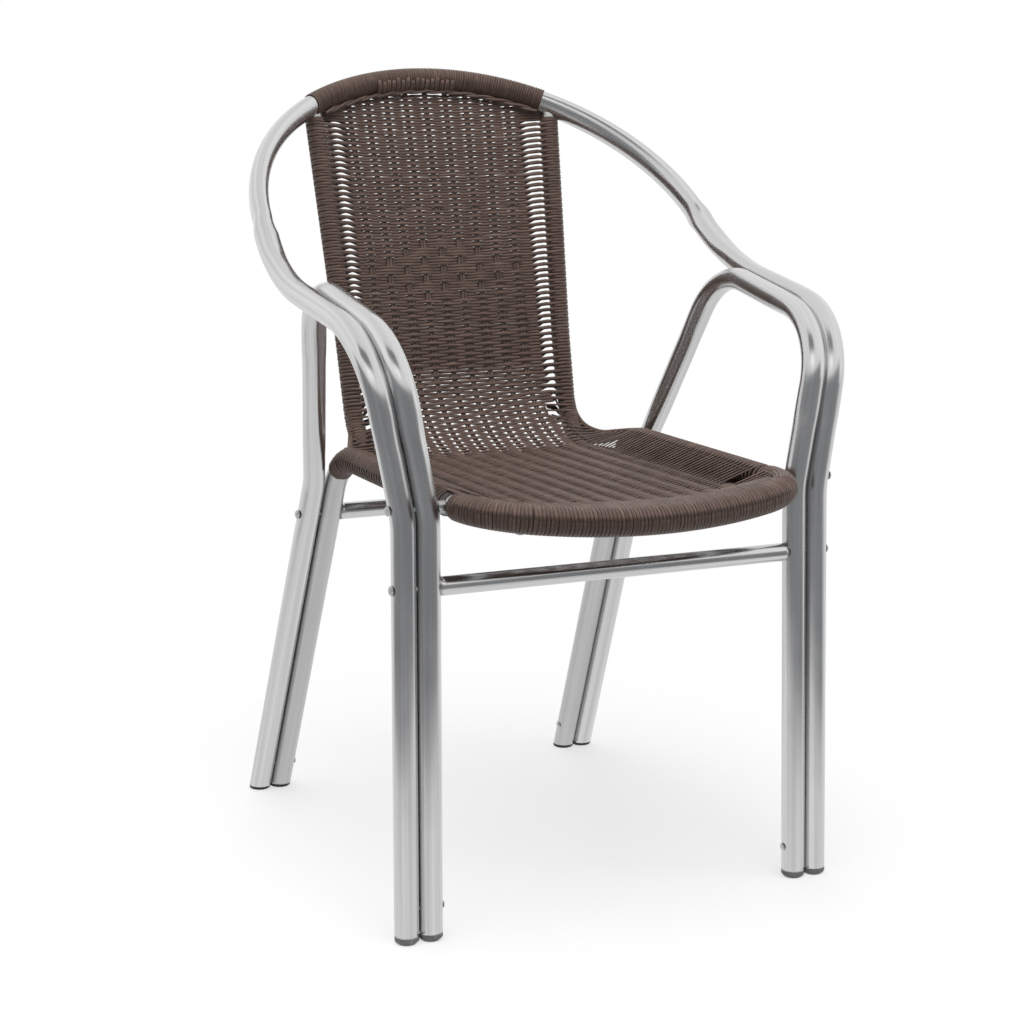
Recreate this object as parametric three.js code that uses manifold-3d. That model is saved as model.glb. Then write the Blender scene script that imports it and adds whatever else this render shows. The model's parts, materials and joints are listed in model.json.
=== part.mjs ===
// A stacking armchair for a cafe terrace: bent aluminium tubes carry a seat and a back of woven plastic
// cane. Millimetres, +Z up, the sitter faces -Y, and left and right are as seen from the front.
// Heights are above the floor, setbacks are measured rearwards from the front feet.
import * as THREE from "three";
import { mergeVertices } from "three/addons/utils/BufferGeometryUtils.js";
import Module from "manifold-3d";

const wasm = await Module();
wasm.setup();

// Tube stock and fits
const frameTubeDiameter = 25;
const frameTubeWall = 2;
const backTubeDiameter = 19;
const backTubeWall = 1.6;
const stretcherDiameter = 19;
const stretcherWall = 2;
const seatingGap = 0.3;
const stationSpacing = 2;
const caneThickness = 1.6;
const cutOverrun = 6;

// Front legs and arms, followed by the hoop tube outside and by the arm tube beside it
const frontFootSpread = 473;
const kneeSpread = 466;
const kneeSetback = 9;
const kneeHeight = 423;
const kneeRadius = 120;
const armFrontSpread = 531;
const armFrontSetback = 16;
const armFrontHeight = 600;
const armFrontRadius = 92;
const armRearSpread = 547;
const armRearSetback = 256;
const armRearHeight = 640;
const armRearRadius = 260;
const armTubeForward = 4;
const armTubeDrop = 5;
const armTubeFrontRadius = 80;

// Back arch of the hoop, a plane curve that leans back from the rear of the arms
const archShoulderSpread = 485;
const archRise = 338.5;
const archLean = THREE.MathUtils.degToRad(38.3);

// Rear end of the arm tube: it turns down behind the sitter and becomes the outer rear leg
const rearCornerSpread = 485;
const rearCornerSetback = 231;
const rearCornerHeight = 638;
const rearCornerRadius = 74;
const rearKneeSpread = 409.8;
const rearKneeSetback = 348;
const rearKneeDrop = 31;
const rearKneeRadius = 117;
const rearFootSpread = 437;
const rearFootSetback = 529;

// Seat frame: inner rear legs, side rails and the bowed front rail in one tube
const seatRailHeight = 437;
const knuckleRadius = 72;
const seatCornerSetback = -49;
const seatCornerDrop = 3.3;
const seatCornerRadius = 68;
const seatBowSetback = -98.5;
const seatBowDrop = 23;
const seatBowRadius = 455;

// Back rails: from the arch down the back, round under the seat and forward to the front rail
const backTopSpread = 301;
const backTopBehind = 7;
const backWaistSpread = 275;
const backWaistSetback = 426.4;
const backWaistRise = 113;
const backWaistRadius = 900;
const backFootSpread = 269;
const backFootSetback = 394;
const backFootDrop = 20;
const backFootRadius = 78;
const backFrontDrop = 15.8;
const backFrontBehind = 8;
const bareStubLength = 7;

// Stretchers and bolts
const frontStretcherDrop = 81;
const rearStretcherDrop = 70;
const boltDiameter = 6;
const boltHeadDiameter = 11;
const boltHeadHeight = 3;
const boltReach = 16;
const boltTip = 2;
const insertLength = 22;
const nutAcross = 11;
const nutHeight = 6;
const spacerDiameter = 13;

// Foot rivets and glides
const rivetHeight = 34;
const rivetDiameter = 5;
const rivetHeadDiameter = 9;
const rivetHeadHeight = 2;
const frontGlideHeight = 8;
const frontGlideChamfer = 3;
const rearGlideHeight = 4;
const rearGlideChamfer = 1;
const glideStemLength = 16;
const glideStemTaper = 0.6;

// Wound cane sleeves
const archWrapSpread = 294;
const kneeWrapDrop = 16;
const sideWrapFront = 44;
const frontWrapRear = -7;
const backWrapFront = 352;

// Woven sheets
const weaveThickness = 3;
const wovenSpread = 250;
const seatWeaveRear = 350;
const seatWeaveDrop = 7;
const seatDish = 4;
const levelSpread = 130;
const dishSpread = 244;
const seatFrontRise = 3;
const sideStripRise = 15;
const fanSpread = 318;
const fanSetback = 318;
const seatBackRadius = 60;
const backHollow = 16.5;
const hollowHeight = 220;
const archHollowShare = 0.5;
const warpSpacing = 23.1;
const warpGaps = 8;
const warpBand = 9;
const backEdgeBand = 17;
const stripGapWidth = 17;
const gapHeight = 12;
const backGapRows = 7;
const backGapsFrom = 72;
const backGapSpacing = 53;
const seatGapRows = 6;
const seatGapsFrom = 60;
const seatGapSpacing = 52;
const seatStripGapWidth = 24;

// Facets
const frameSides = 14;
const boreSides = 6;
const lightSides = 12;
const wrapSides = 12;
const smallSides = 8;
const nutSides = 6;
const domeSteps = 2;
const glideSides = 12;
const arcStep = THREE.MathUtils.degToRad(18);
const sheetArcStep = THREE.MathUtils.degToRad(20);
const wrapBoreSides = 8;
const seatSheetColumns = 4;

const polished = { color: 0xd4d5d6, roughness: 0.22, metalness: 1 };
const satin = { color: 0xc9cac8, roughness: 0.38, metalness: 1 };
const zincPlated = { color: 0xb9bbbd, roughness: 0.35, metalness: 1 };
const caneBrown = { color: 0x5a4a42, roughness: 0.55, metalness: 0 };
const glideGrey = { color: 0x6e6f72, roughness: 0.6, metalness: 0 };
const glideBlack = { color: 0x222224, roughness: 0.55, metalness: 0 };

const vector = (x, y, z) => new THREE.Vector3(x, y, z);
const mirrored = (p) => vector(-p.x, p.y, p.z);

// A tube's centre line. A station stands at each end of a straight run and along each bend, so a tube has
// rings only where its direction changes.
class BentPath extends THREE.Curve {
  constructor(stations) {
    super();
    this.stations = stations;
  }
  station(t) {
    return this.stations[Math.round(t * (this.stations.length - 1))];
  }
  getPoint(t, target = new THREE.Vector3()) {
    return target.copy(this.station(t).point);
  }
  getTangent(t, target = new THREE.Vector3()) {
    return target.copy(this.station(t).direction);
  }
  getUtoTmapping(u) {
    return u;
  }
}

// Stations along straight runs that join the corners, each inner corner rounded by an arc of its own radius.
function bentPath(corners, step = arcStep) {
  const stations = [];
  const add = (point, direction) => {
    const last = stations[stations.length - 1];
    if (last && last.point.distanceTo(point) < stationSpacing) return;
    stations.push({ point, direction });
  };
  corners.forEach(({ point, radius }, i) => {
    const before = corners[i - 1];
    const after = corners[i + 1];
    const arriving = before && point.clone().sub(before.point).normalize();
    const leaving = after && after.point.clone().sub(point).normalize();
    if (!before || !after) {
      add(point.clone(), arriving || leaving);
      return;
    }
    const turn = arriving.angleTo(leaving);
    const setOff = radius * Math.tan(turn / 2);
    const start = point.clone().addScaledVector(arriving, -setOff);
    const inwards = leaving.clone().addScaledVector(arriving, -leaving.dot(arriving)).normalize();
    const segments = Math.max(2, Math.ceil(turn / step));
    for (let k = 0; k <= segments; k++) {
      const angle = (turn * k) / segments;
      const place = start.clone().addScaledVector(arriving, radius * Math.sin(angle));
      place.addScaledVector(inwards, radius * (1 - Math.cos(angle)));
      const direction = arriving.clone().multiplyScalar(Math.cos(angle));
      add(place, direction.addScaledVector(inwards, Math.sin(angle)));
    }
  });
  return new BentPath(stations);
}

// The point and direction where a path first crosses a plane, given as a signed distance from it.
function crossing(path, distanceFrom) {
  const { stations } = path;
  for (let i = 1; i < stations.length; i++) {
    const a = distanceFrom(stations[i - 1].point);
    const b = distanceFrom(stations[i].point);
    if (a * b > 0) continue;
    const share = a / (a - b);
    return {
      point: stations[i - 1].point.clone().lerp(stations[i].point, share),
      direction: stations[i - 1].direction.clone().lerp(stations[i].direction, share).normalize(),
      index: i,
    };
  }
  throw new Error("the path does not reach that plane");
}
const atHeight = (path, height) => crossing(path, (p) => p.z - height);
const atSetback = (path, setback) => crossing(path, (p) => p.y - setback);
const atSide = (path, side) => crossing(path, (p) => p.x - side);

// The stretch of a path between two of its crossings.
function stretch(path, from, to) {
  const inner = path.stations.slice(from.index, to.index);
  return new BentPath([from, ...inner, to]);
}

function ring(radius, sides) {
  const points = [];
  for (let k = 0; k < sides; k++) {
    const angle = (2 * Math.PI * k) / sides;
    points.push(new THREE.Vector2(radius * Math.cos(angle), radius * Math.sin(angle)));
  }
  return points;
}

// A pipe along a path. The outside is drawn inside its true round and the bore around its own.
function pipe(path, outside, bore, sides, innerSides = boreSides) {
  const section = new THREE.Shape(ring(outside / 2, sides));
  if (bore) section.holes.push(new THREE.Path(ring(bore / 2 / Math.cos(Math.PI / innerSides), innerSides)));
  const steps = path.stations.length - 1;
  return new THREE.ExtrudeGeometry(section, { steps, bevelEnabled: false, extrudePath: path });
}

// A closed geometry as a solid that can be joined and cut.
function solidOf(geometry) {
  const bare = geometry.clone();
  bare.deleteAttribute("normal");
  bare.deleteAttribute("uv");
  const merged = mergeVertices(bare);
  return new wasm.Manifold(
    new wasm.Mesh({
      numProp: 3,
      vertProperties: merged.getAttribute("position").array,
      triVerts: new Uint32Array(merged.index.array),
    }),
  );
}

function geometryOf(solid) {
  const mesh = solid.getMesh();
  const geometry = new THREE.BufferGeometry();
  geometry.setAttribute("position", new THREE.BufferAttribute(mesh.vertProperties, 3));
  geometry.setIndex(new THREE.BufferAttribute(mesh.triVerts, 1));
  geometry.computeVertexNormals();
  return geometry;
}

// What a piece keeps after its cuts is its main body: scraps past a cut, or as thin as a facet, fall away.
function cut(solid, ...cutters) {
  const rest = cutters.reduce((kept, cutter) => kept.subtract(cutter), solid);
  return rest.decompose().reduce((most, body) => (body.volume() > most.volume() ? body : most));
}

// A round bar across the chair, parallel to X.
function crossBar(fromX, toX, y, z, diameter, sides = smallSides) {
  const length = Math.abs(toX - fromX);
  const bar = new THREE.CylinderGeometry(diameter / 2, diameter / 2, length, sides);
  bar.rotateZ(Math.PI / 2);
  bar.translate((fromX + toX) / 2, y, z);
  return solidOf(bar);
}

// Centre lines of the left half of the frame
const frontFoot = vector(-frontFootSpread / 2, 0, 0);
const knee = vector(-kneeSpread / 2, kneeSetback, kneeHeight);
const armFront = vector(-armFrontSpread / 2, armFrontSetback, armFrontHeight);
const armRear = vector(-armRearSpread / 2, armRearSetback, armRearHeight);
const shoulder = vector(
  -archShoulderSpread / 2,
  armRearSetback + archRise * Math.cos(archLean),
  armRearHeight + archRise * Math.sin(archLean),
);
const archTurn = Math.PI / 2 - Math.atan((armRearSpread - archShoulderSpread) / 2 / archRise);
const archRadius = archShoulderSpread / 2 / Math.tan(archTurn / 2);

// A leg goes on through its foot point for as long as the cut at the floor needs.
function pastFoot(foot, next) {
  const direction = foot.clone().sub(next).normalize();
  return foot.clone().addScaledVector(direction, cutOverrun);
}

const hoopHalf = [
  { point: pastFoot(frontFoot, knee) },
  { point: knee, radius: kneeRadius },
  { point: armFront, radius: armFrontRadius },
  { point: armRear, radius: armRearRadius },
  { point: shoulder, radius: archRadius },
];
const mirroredHalf = (half) => half.map((c) => ({ ...c, point: mirrored(c.point) })).reverse();
const hoopPath = bentPath([...hoopHalf, ...mirroredHalf(hoopHalf)]);

// The arm tube lies beside the hoop, one tube inwards, clear of it also where both lean out. Along the arm it
// runs a little lower and further forward.
const tubePitch = frameTubeDiameter + seatingGap;
const armLean = Math.atan((armFrontSpread - kneeSpread) / 2 / (armFrontHeight - kneeHeight));
const innerFrontFoot = vector(frontFoot.x + tubePitch, frontFoot.y, 0);
const innerKnee = vector(knee.x + tubePitch, knee.y, knee.z + tubePitch * Math.tan(armLean / 2));
const innerArmFront = vector(
  armFront.x + tubePitch / Math.cos(armLean) + armTubeDrop * Math.tan(armLean),
  armFront.y - armTubeForward,
  armFront.z - armTubeDrop,
);
const rearCorner = vector(-rearCornerSpread / 2, rearCornerSetback, rearCornerHeight);
const rearKnee = vector(-rearKneeSpread / 2, rearKneeSetback, seatRailHeight - rearKneeDrop);
const rearFoot = vector(-rearFootSpread / 2, rearFootSetback, 0);
const armPath = bentPath([
  { point: pastFoot(innerFrontFoot, innerKnee) },
  { point: innerKnee, radius: kneeRadius },
  { point: innerArmFront, radius: armTubeFrontRadius },
  { point: rearCorner, radius: rearCornerRadius },
  { point: rearKnee, radius: rearKneeRadius },
  { point: pastFoot(rearFoot, rearKnee) },
]);

// The inner rear leg stands beside the outer one and meets the side rail's height at the knuckle.
const innerRearFoot = vector(rearFoot.x + tubePitch, rearFoot.y, 0);
const innerRearKnee = vector(rearKnee.x + tubePitch, rearKnee.y, rearKnee.z);
const legRise = (seatRailHeight - innerRearKnee.z) / (innerRearKnee.z - innerRearFoot.z);
const knuckle = innerRearKnee.clone().addScaledVector(innerRearKnee.clone().sub(innerRearFoot), legRise);
const seatRail = knuckle.x;
const seatCorner = vector(seatRail, seatCornerSetback, seatRailHeight - seatCornerDrop);
const seatBow = vector(0, seatBowSetback, seatRailHeight - seatBowDrop);
const seatHalf = [
  { point: pastFoot(innerRearFoot, knuckle) },
  { point: knuckle, radius: knuckleRadius },
  { point: seatCorner, radius: seatCornerRadius },
];
const seatMiddle = { point: seatBow, radius: seatBowRadius };
const seatPath = bentPath([...seatHalf, seatMiddle, ...mirroredHalf(seatHalf)]);

// A back rail starts just behind the arch's centre line and ends against the back of the front rail.
const backTop = atSide(hoopPath, -backTopSpread / 2).point;
backTop.y += backTopBehind;
const backWaist = vector(-backWaistSpread / 2, backWaistSetback, seatRailHeight + backWaistRise);
const backFoot = vector(-backFootSpread / 2, backFootSetback, seatRailHeight - backFootDrop);
const frontRailAt = (x) => atSide(seatFrontPath, x).point;
const seatFrontPath = new BentPath(
  seatPath.stations.filter(({ point }) => point.y < seatCornerSetback + seatCornerRadius),
);
const backFrontSetback = frontRailAt(backFoot.x).y + backFrontBehind;
const backFront = vector(backFoot.x, backFrontSetback, seatRailHeight - backFrontDrop);
const backPath = bentPath([
  { point: backTop },
  { point: backWaist, radius: backWaistRadius },
  { point: backFoot, radius: backFootRadius },
  { point: backFront },
]);

// Where bolts and rivets cross the legs; the seat bolt goes through the middle of the side rail
const leftSeatPath = new BentPath(seatPath.stations.slice(0, seatPath.stations.length / 2));
const railAtBolt = atSetback(leftSeatPath, atHeight(armPath, seatCorner.z).point.y).point;
const seatBoltHeight = railAtBolt.z;
const seatBoltAt = vector(atHeight(armPath, seatBoltHeight).point.x, railAtBolt.y, seatBoltHeight);
const frontStretcherHeight = seatRailHeight - frontStretcherDrop;
const rearStretcherHeight = seatRailHeight - rearStretcherDrop;
const frontStretcherAt = atHeight(armPath, frontStretcherHeight).point;
const rearLegPath = new BentPath(armPath.stations.slice(-2));
const rearStretcherAt = atHeight(rearLegPath, rearStretcherHeight).point;
const frontRivetAt = atHeight(armPath, rivetHeight).point;
const rearRivetAt = atHeight(rearLegPath, rivetHeight).point;

// The chair's pieces, each with its name and finish
const meshes = [];
function place(name, geometry, finish) {
  const mesh = new THREE.Mesh(geometry, new THREE.MeshStandardMaterial(finish));
  mesh.name = name;
  meshes.push(mesh);
}
const mirrorX = new THREE.Matrix4().makeScale(-1, 1, 1);

// The same piece on both sides of the chair: the right one is the left one mirrored.
function placePair(name, solid, finish) {
  place("left_" + name, geometryOf(solid), finish);
  place("right_" + name, geometryOf(solid.transform(mirrorX.elements)), finish);
}
const both = (solid) => [solid, solid.transform(mirrorX.elements)];

// Room that a tube needs around it, as a cutter: its facets lie outside the tube's true round.
function roomAlong(path, diameter, sideCount) {
  const across = (diameter + 2 * seatingGap) / Math.cos(Math.PI / sideCount);
  return solidOf(pipe(path, across, 0, sideCount));
}
const hoopRoom = roomAlong(hoopPath, frameTubeDiameter, frameSides);
const armRoom = roomAlong(armPath, frameTubeDiameter, frameSides);
const seatRoom = roomAlong(seatPath, frameTubeDiameter, frameSides);

// Everything below a height around the feet at one setback, and not as far as the other feet
function belowFeet(height, setback) {
  const slab = new THREE.BoxGeometry(armRearSpread, rearFootSetback, armRearHeight);
  slab.translate(0, setback, height - armRearHeight / 2);
  return solidOf(slab);
}

// Bolt and rivet holes run through both walls of a tube
const boltHole = boltDiameter + 2 * seatingGap;
const rivetHole = rivetDiameter + 2 * seatingGap;
const outerLegX = -frontFootSpread / 2 - frameTubeDiameter;
const seatBoltHole = crossBar(outerLegX, railAtBolt.x, seatBoltAt.y, seatBoltHeight, boltHole);
const frontBoltHole = crossBar(outerLegX, 0, frontStretcherAt.y, frontStretcherHeight, boltHole);
const rearBoltHole = crossBar(outerLegX, 0, rearStretcherAt.y, rearStretcherHeight, boltHole);
const frontRivetHole = crossBar(frontFoot.x, 0, frontRivetAt.y, rivetHeight, rivetHole);
const rearRivetHole = crossBar(rearFoot.x, 0, rearRivetAt.y, rivetHeight, rivetHole);

// Frame tubes
const frameBore = frameTubeDiameter - 2 * frameTubeWall;
const frontCut = belowFeet(frontGlideHeight + seatingGap, frontFoot.y);
const rearCut = belowFeet(rearGlideHeight + seatingGap, rearFoot.y);
const hoopHoles = [seatBoltHole, frontBoltHole, frontRivetHole].flatMap(both);
const hoop = cut(solidOf(pipe(hoopPath, frameTubeDiameter, frameBore, frameSides)), frontCut, ...hoopHoles);
place("hoop_tube", geometryOf(hoop), polished);

const armTube = cut(
  solidOf(pipe(armPath, frameTubeDiameter, frameBore, frameSides)),
  frontCut,
  rearCut,
  seatBoltHole,
  frontBoltHole,
  rearBoltHole,
  frontRivetHole,
  rearRivetHole,
);
placePair("arm_tube", armTube, polished);

const seatHoles = [seatBoltHole, rearBoltHole, rearRivetHole].flatMap(both);
const seatPipe = solidOf(pipe(seatPath, frameTubeDiameter, frameBore, frameSides));
const seatTube = cut(seatPipe, rearCut, ...seatHoles);
place("seat_frame_tube", geometryOf(seatTube), satin);

const backBore = backTubeDiameter - 2 * backTubeWall;
const backRail = cut(solidOf(pipe(backPath, backTubeDiameter, backBore, lightSides)), hoopRoom, seatRoom);
placePair("back_rail", backRail, satin);

// Stretchers are coped to the inner legs and hold a threaded insert in each end
const stretcherBore = stretcherDiameter - 2 * stretcherWall;
function stretcher(end, cutters) {
  const line = new BentPath([
    { point: end.clone(), direction: vector(1, 0, 0) },
    { point: mirrored(end), direction: vector(1, 0, 0) },
  ]);
  return cut(solidOf(pipe(line, stretcherDiameter, stretcherBore, lightSides)), ...cutters);
}
const frontStretcher = stretcher(frontStretcherAt, both(armRoom));
place("front_stretcher", geometryOf(frontStretcher), polished);
const innerLegAt = vector(rearStretcherAt.x + tubePitch, rearStretcherAt.y, rearStretcherHeight);
const rearStretcher = stretcher(innerLegAt, [seatRoom]);
place("rear_stretcher", geometryOf(rearStretcher), polished);

// A threaded insert starts where the coped end of its stretcher is full round.
function insert(legX, y, z) {
  const start = legX + frameTubeDiameter / 2 + seatingGap;
  const line = new BentPath([
    { point: vector(start, y, z), direction: vector(1, 0, 0) },
    { point: vector(start + insertLength, y, z), direction: vector(1, 0, 0) },
  ]);
  return solidOf(pipe(line, stretcherBore - 2 * seatingGap, boltHole, smallSides));
}
const frontInsert = insert(frontStretcherAt.x, frontStretcherAt.y, frontStretcherHeight);
placePair("front_stretcher_insert", frontInsert, zincPlated);
placePair("rear_stretcher_insert", insert(innerLegAt.x, innerLegAt.y, rearStretcherHeight), zincPlated);

// A dome-headed bolt on an axis parallel to X: the head stands on its seat and the shank reaches to the end.
function bolt(seatX, endX, y, z, headDiameter, headHeight, shankDiameter) {
  const dome = [];
  for (let k = 0; k <= domeSteps; k++) {
    const angle = (Math.PI / 2) * (k / domeSteps);
    const radius = (headDiameter / 2) * Math.cos(angle);
    dome.push(new THREE.Vector2(radius, headHeight * Math.sin(angle)));
  }
  const inward = Math.abs(endX - seatX);
  const profile = [
    new THREE.Vector2(0, -inward),
    new THREE.Vector2(shankDiameter / 2, -inward),
    new THREE.Vector2(shankDiameter / 2, 0),
    ...dome,
  ];
  profile[profile.length - 1].x = 0;
  const piece = new THREE.LatheGeometry(profile, smallSides);
  piece.rotateZ((Math.sign(endX - seatX) * Math.PI) / 2);
  piece.translate(seatX, y, z);
  return solidOf(piece);
}
const hoopAt = (height) => atHeight(hoopPath, height).point;
const outerFace = (centreX) => centreX - frameTubeDiameter / 2 - seatingGap;
const headSizes = [boltHeadDiameter, boltHeadHeight, boltDiameter];
const seatBoltSeat = outerFace(hoopAt(seatBoltHeight + boltHeadDiameter / 2).x);
const nutCorner = nutAcross / 2;
const nutSeat = railAtBolt.x - Math.sqrt((frameBore / 2) ** 2 - nutCorner ** 2) + seatingGap;
const seatBoltEnd = nutSeat + nutHeight + boltTip;
const seatBoltShape = bolt(seatBoltSeat, seatBoltEnd, seatBoltAt.y, seatBoltHeight, ...headSizes);
placePair("seat_bolt", seatBoltShape, zincPlated);
const frontBoltSeat = outerFace(hoopAt(frontStretcherHeight).x);
const frontBoltEnd = frontStretcherAt.x + frameTubeDiameter / 2 + boltReach;
placePair(
  "front_stretcher_bolt",
  bolt(frontBoltSeat, frontBoltEnd, frontStretcherAt.y, frontStretcherHeight, ...headSizes),
  zincPlated,
);
const rearBoltSeat = outerFace(rearStretcherAt.x);
const rearBoltEnd = innerLegAt.x + frameTubeDiameter / 2 + boltReach;
placePair(
  "rear_stretcher_bolt",
  bolt(rearBoltSeat, rearBoltEnd, innerLegAt.y, rearStretcherHeight, ...headSizes),
  zincPlated,
);

// The seat bolt's nut is held inside the side rail, against the wall that faces the leg
const nutLine = new BentPath([
  { point: vector(nutSeat, seatBoltAt.y, seatBoltHeight), direction: vector(1, 0, 0) },
  { point: vector(nutSeat + nutHeight, seatBoltAt.y, seatBoltHeight), direction: vector(1, 0, 0) },
]);
placePair("seat_bolt_nut", solidOf(pipe(nutLine, nutAcross, boltHole, nutSides)), zincPlated);

// A bush keeps the side rail clear of the front leg, hollowed at both ends to sit on the two tubes
const bushEnds = [seatBoltAt.x, railAtBolt.x];
const bushBar = crossBar(...bushEnds, seatBoltAt.y, seatBoltHeight, spacerDiameter, lightSides);
placePair("seat_bolt_bush", cut(bushBar, armRoom, seatRoom, seatBoltHole), zincPlated);

// Rivets tie each pair of legs near the floor; the head is on the inner side
function rivet(innerTubeX, outerTubeX, y) {
  const seatX = innerTubeX + frameTubeDiameter / 2 + seatingGap;
  const endX = outerTubeX + frameTubeDiameter / 2 - 2 * frameTubeWall;
  return bolt(seatX, endX, y, rivetHeight, rivetHeadDiameter, rivetHeadHeight, rivetDiameter);
}
const frontOuterAtRivet = hoopAt(rivetHeight);
placePair("front_foot_rivet", rivet(frontRivetAt.x, frontOuterAtRivet.x, frontRivetAt.y), satin);
placePair("rear_foot_rivet", rivet(rearRivetAt.x + tubePitch, rearRivetAt.x, rearRivetAt.y), satin);

// A glide closes a leg: a chamfered head as wide as the tube and a stem that seats in the bore. It is sheared
// along its leg, so that the head lies flat on the floor and the stem follows the tube.
function glide(foot, direction, headHeight, chamfer) {
  const outside = frameTubeDiameter / 2;
  const stem = frameBore / 2 - seatingGap;
  const profile = [
    new THREE.Vector2(0, 0),
    new THREE.Vector2(outside - chamfer, 0),
    new THREE.Vector2(outside, chamfer),
    new THREE.Vector2(outside, headHeight),
    new THREE.Vector2(stem, headHeight),
    new THREE.Vector2(stem - glideStemTaper, headHeight + glideStemLength),
    new THREE.Vector2(0, headHeight + glideStemLength),
  ];
  const piece = new THREE.LatheGeometry(profile, glideSides);
  piece.rotateX(Math.PI / 2);
  const shear = new THREE.Matrix4().set(
    1, 0, direction.x / direction.z, foot.x,
    0, 1 / direction.z, direction.y / direction.z, foot.y,
    0, 0, 1, 0,
    0, 0, 0, 1,
  );
  return solidOf(piece).transform(shear.elements);
}
const frontLean = knee.clone().sub(frontFoot).normalize();
const rearLean = rearKnee.clone().sub(rearFoot).normalize();
placePair("front_outer_glide", glide(frontFoot, frontLean, frontGlideHeight, frontGlideChamfer), glideGrey);
const frontInnerGlide = glide(innerFrontFoot, frontLean, frontGlideHeight, frontGlideChamfer);
placePair("front_inner_glide", frontInnerGlide, glideGrey);
placePair("rear_outer_glide", glide(rearFoot, rearLean, rearGlideHeight, rearGlideChamfer), glideBlack);
placePair("rear_inner_glide", glide(innerRearFoot, rearLean, rearGlideHeight, rearGlideChamfer), glideBlack);

// Sleeves of wound cane on the arch, the back rails and the seat frame
const frameWrap = frameTubeDiameter + 2 * (seatingGap + caneThickness);
const backWrap = backTubeDiameter + 2 * (seatingGap + caneThickness);
const sleeve = (path, outside, inside) =>
  solidOf(pipe(path, outside, inside + 2 * seatingGap, wrapSides, wrapBoreSides));
const backRoom = roomAlong(backPath, backTubeDiameter, lightSides);

const archWrapPath = stretch(
  hoopPath,
  atSide(hoopPath, -archWrapSpread / 2),
  atSide(hoopPath, archWrapSpread / 2),
);
const archWrap = cut(sleeve(archWrapPath, frameWrap, frameTubeDiameter), ...both(backRoom));
place("top_rail_wrap", geometryOf(archWrap), caneBrown);

const stubHeight = backTop.z - frameWrap / 2 - bareStubLength;
const backWrapPath = stretch(backPath, atHeight(backPath, stubHeight), atSetback(backPath, backWrapFront));
placePair("back_rail_wrap", sleeve(backWrapPath, backWrap, backTubeDiameter), caneBrown);

const sideWrapPath = stretch(
  leftSeatPath,
  atHeight(leftSeatPath, seatRailHeight - kneeWrapDrop),
  atSetback(leftSeatPath, sideWrapFront),
);
placePair("side_rail_wrap", cut(sleeve(sideWrapPath, frameWrap, frameTubeDiameter), armRoom), caneBrown);

const leftWrapStart = atSetback(leftSeatPath, frontWrapRear);
const rightSeatPath = new BentPath([...seatPath.stations].reverse());
const rightWrapEnd = atSetback(rightSeatPath, frontWrapRear);
const frontWrapPath = stretch(seatPath, leftWrapStart, {
  ...rightWrapEnd,
  direction: rightWrapEnd.direction,
  index: seatPath.stations.length - rightWrapEnd.index,
});
const frontWrap = cut(sleeve(frontWrapPath, frameWrap, frameTubeDiameter), ...both(backRoom));
place("front_rail_wrap", geometryOf(frontWrap), caneBrown);

// A thin closed sheet along a surface. Its cells lie between lines across and lines along it. A cell that
// isOpen names is left out, and a wall closes every edge where the sheet ends.
const slopeShare = 0.01;
function sheet(acrossLines, alongLines, surface, thickness, isOpen) {
  const places = [];
  for (const side of [-1, 1]) {
    for (const t of alongLines) {
      for (const u of acrossLines) {
        const across = surface(u + slopeShare, t).sub(surface(u - slopeShare, t));
        const lengthwise = surface(u, t + slopeShare).sub(surface(u, t - slopeShare));
        const normal = across.cross(lengthwise).normalize();
        places.push(surface(u, t).addScaledVector(normal, (side * thickness) / 2));
      }
    }
  }
  const columns = acrossLines.length;
  const rows = alongLines.length;
  const below = (i, j) => j * columns + i;
  const above = (i, j) => (rows + j) * columns + i;
  const isClosed = (i, j) => i >= 0 && j >= 0 && i < columns - 1 && j < rows - 1 && !isOpen(i, j);
  const faces = [];
  const quad = (a, b, c, d) => faces.push(a, b, c, a, c, d);
  for (let j = 0; j < rows - 1; j++) {
    for (let i = 0; i < columns - 1; i++) {
      if (!isClosed(i, j)) continue;
      const low = [below(i, j), below(i + 1, j), below(i + 1, j + 1), below(i, j + 1)];
      const top = [above(i, j), above(i + 1, j), above(i + 1, j + 1), above(i, j + 1)];
      quad(top[0], top[1], top[2], top[3]);
      quad(low[0], low[3], low[2], low[1]);
      if (!isClosed(i, j - 1)) quad(low[0], low[1], top[1], top[0]);
      if (!isClosed(i, j + 1)) quad(top[3], top[2], low[2], low[3]);
      if (!isClosed(i - 1, j)) quad(top[0], top[3], low[3], low[0]);
      if (!isClosed(i + 1, j)) quad(low[1], low[2], top[2], top[1]);
    }
  }
  const geometry = new THREE.BufferGeometry().setFromPoints(places);
  geometry.setIndex(faces);
  return solidOf(geometry);
}

// The lines at both edges of each gap, between the sheet's own two edges
const gapLines = (gaps) => [...new Set(gaps.flat())].sort((a, b) => a - b);
const isGap = (lines, gaps) => (k) => gaps.some(([from]) => lines[k] === from);

const smooth = (t) => THREE.MathUtils.smoothstep(t, 0, 1);
const mix = THREE.MathUtils.lerp;

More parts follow.
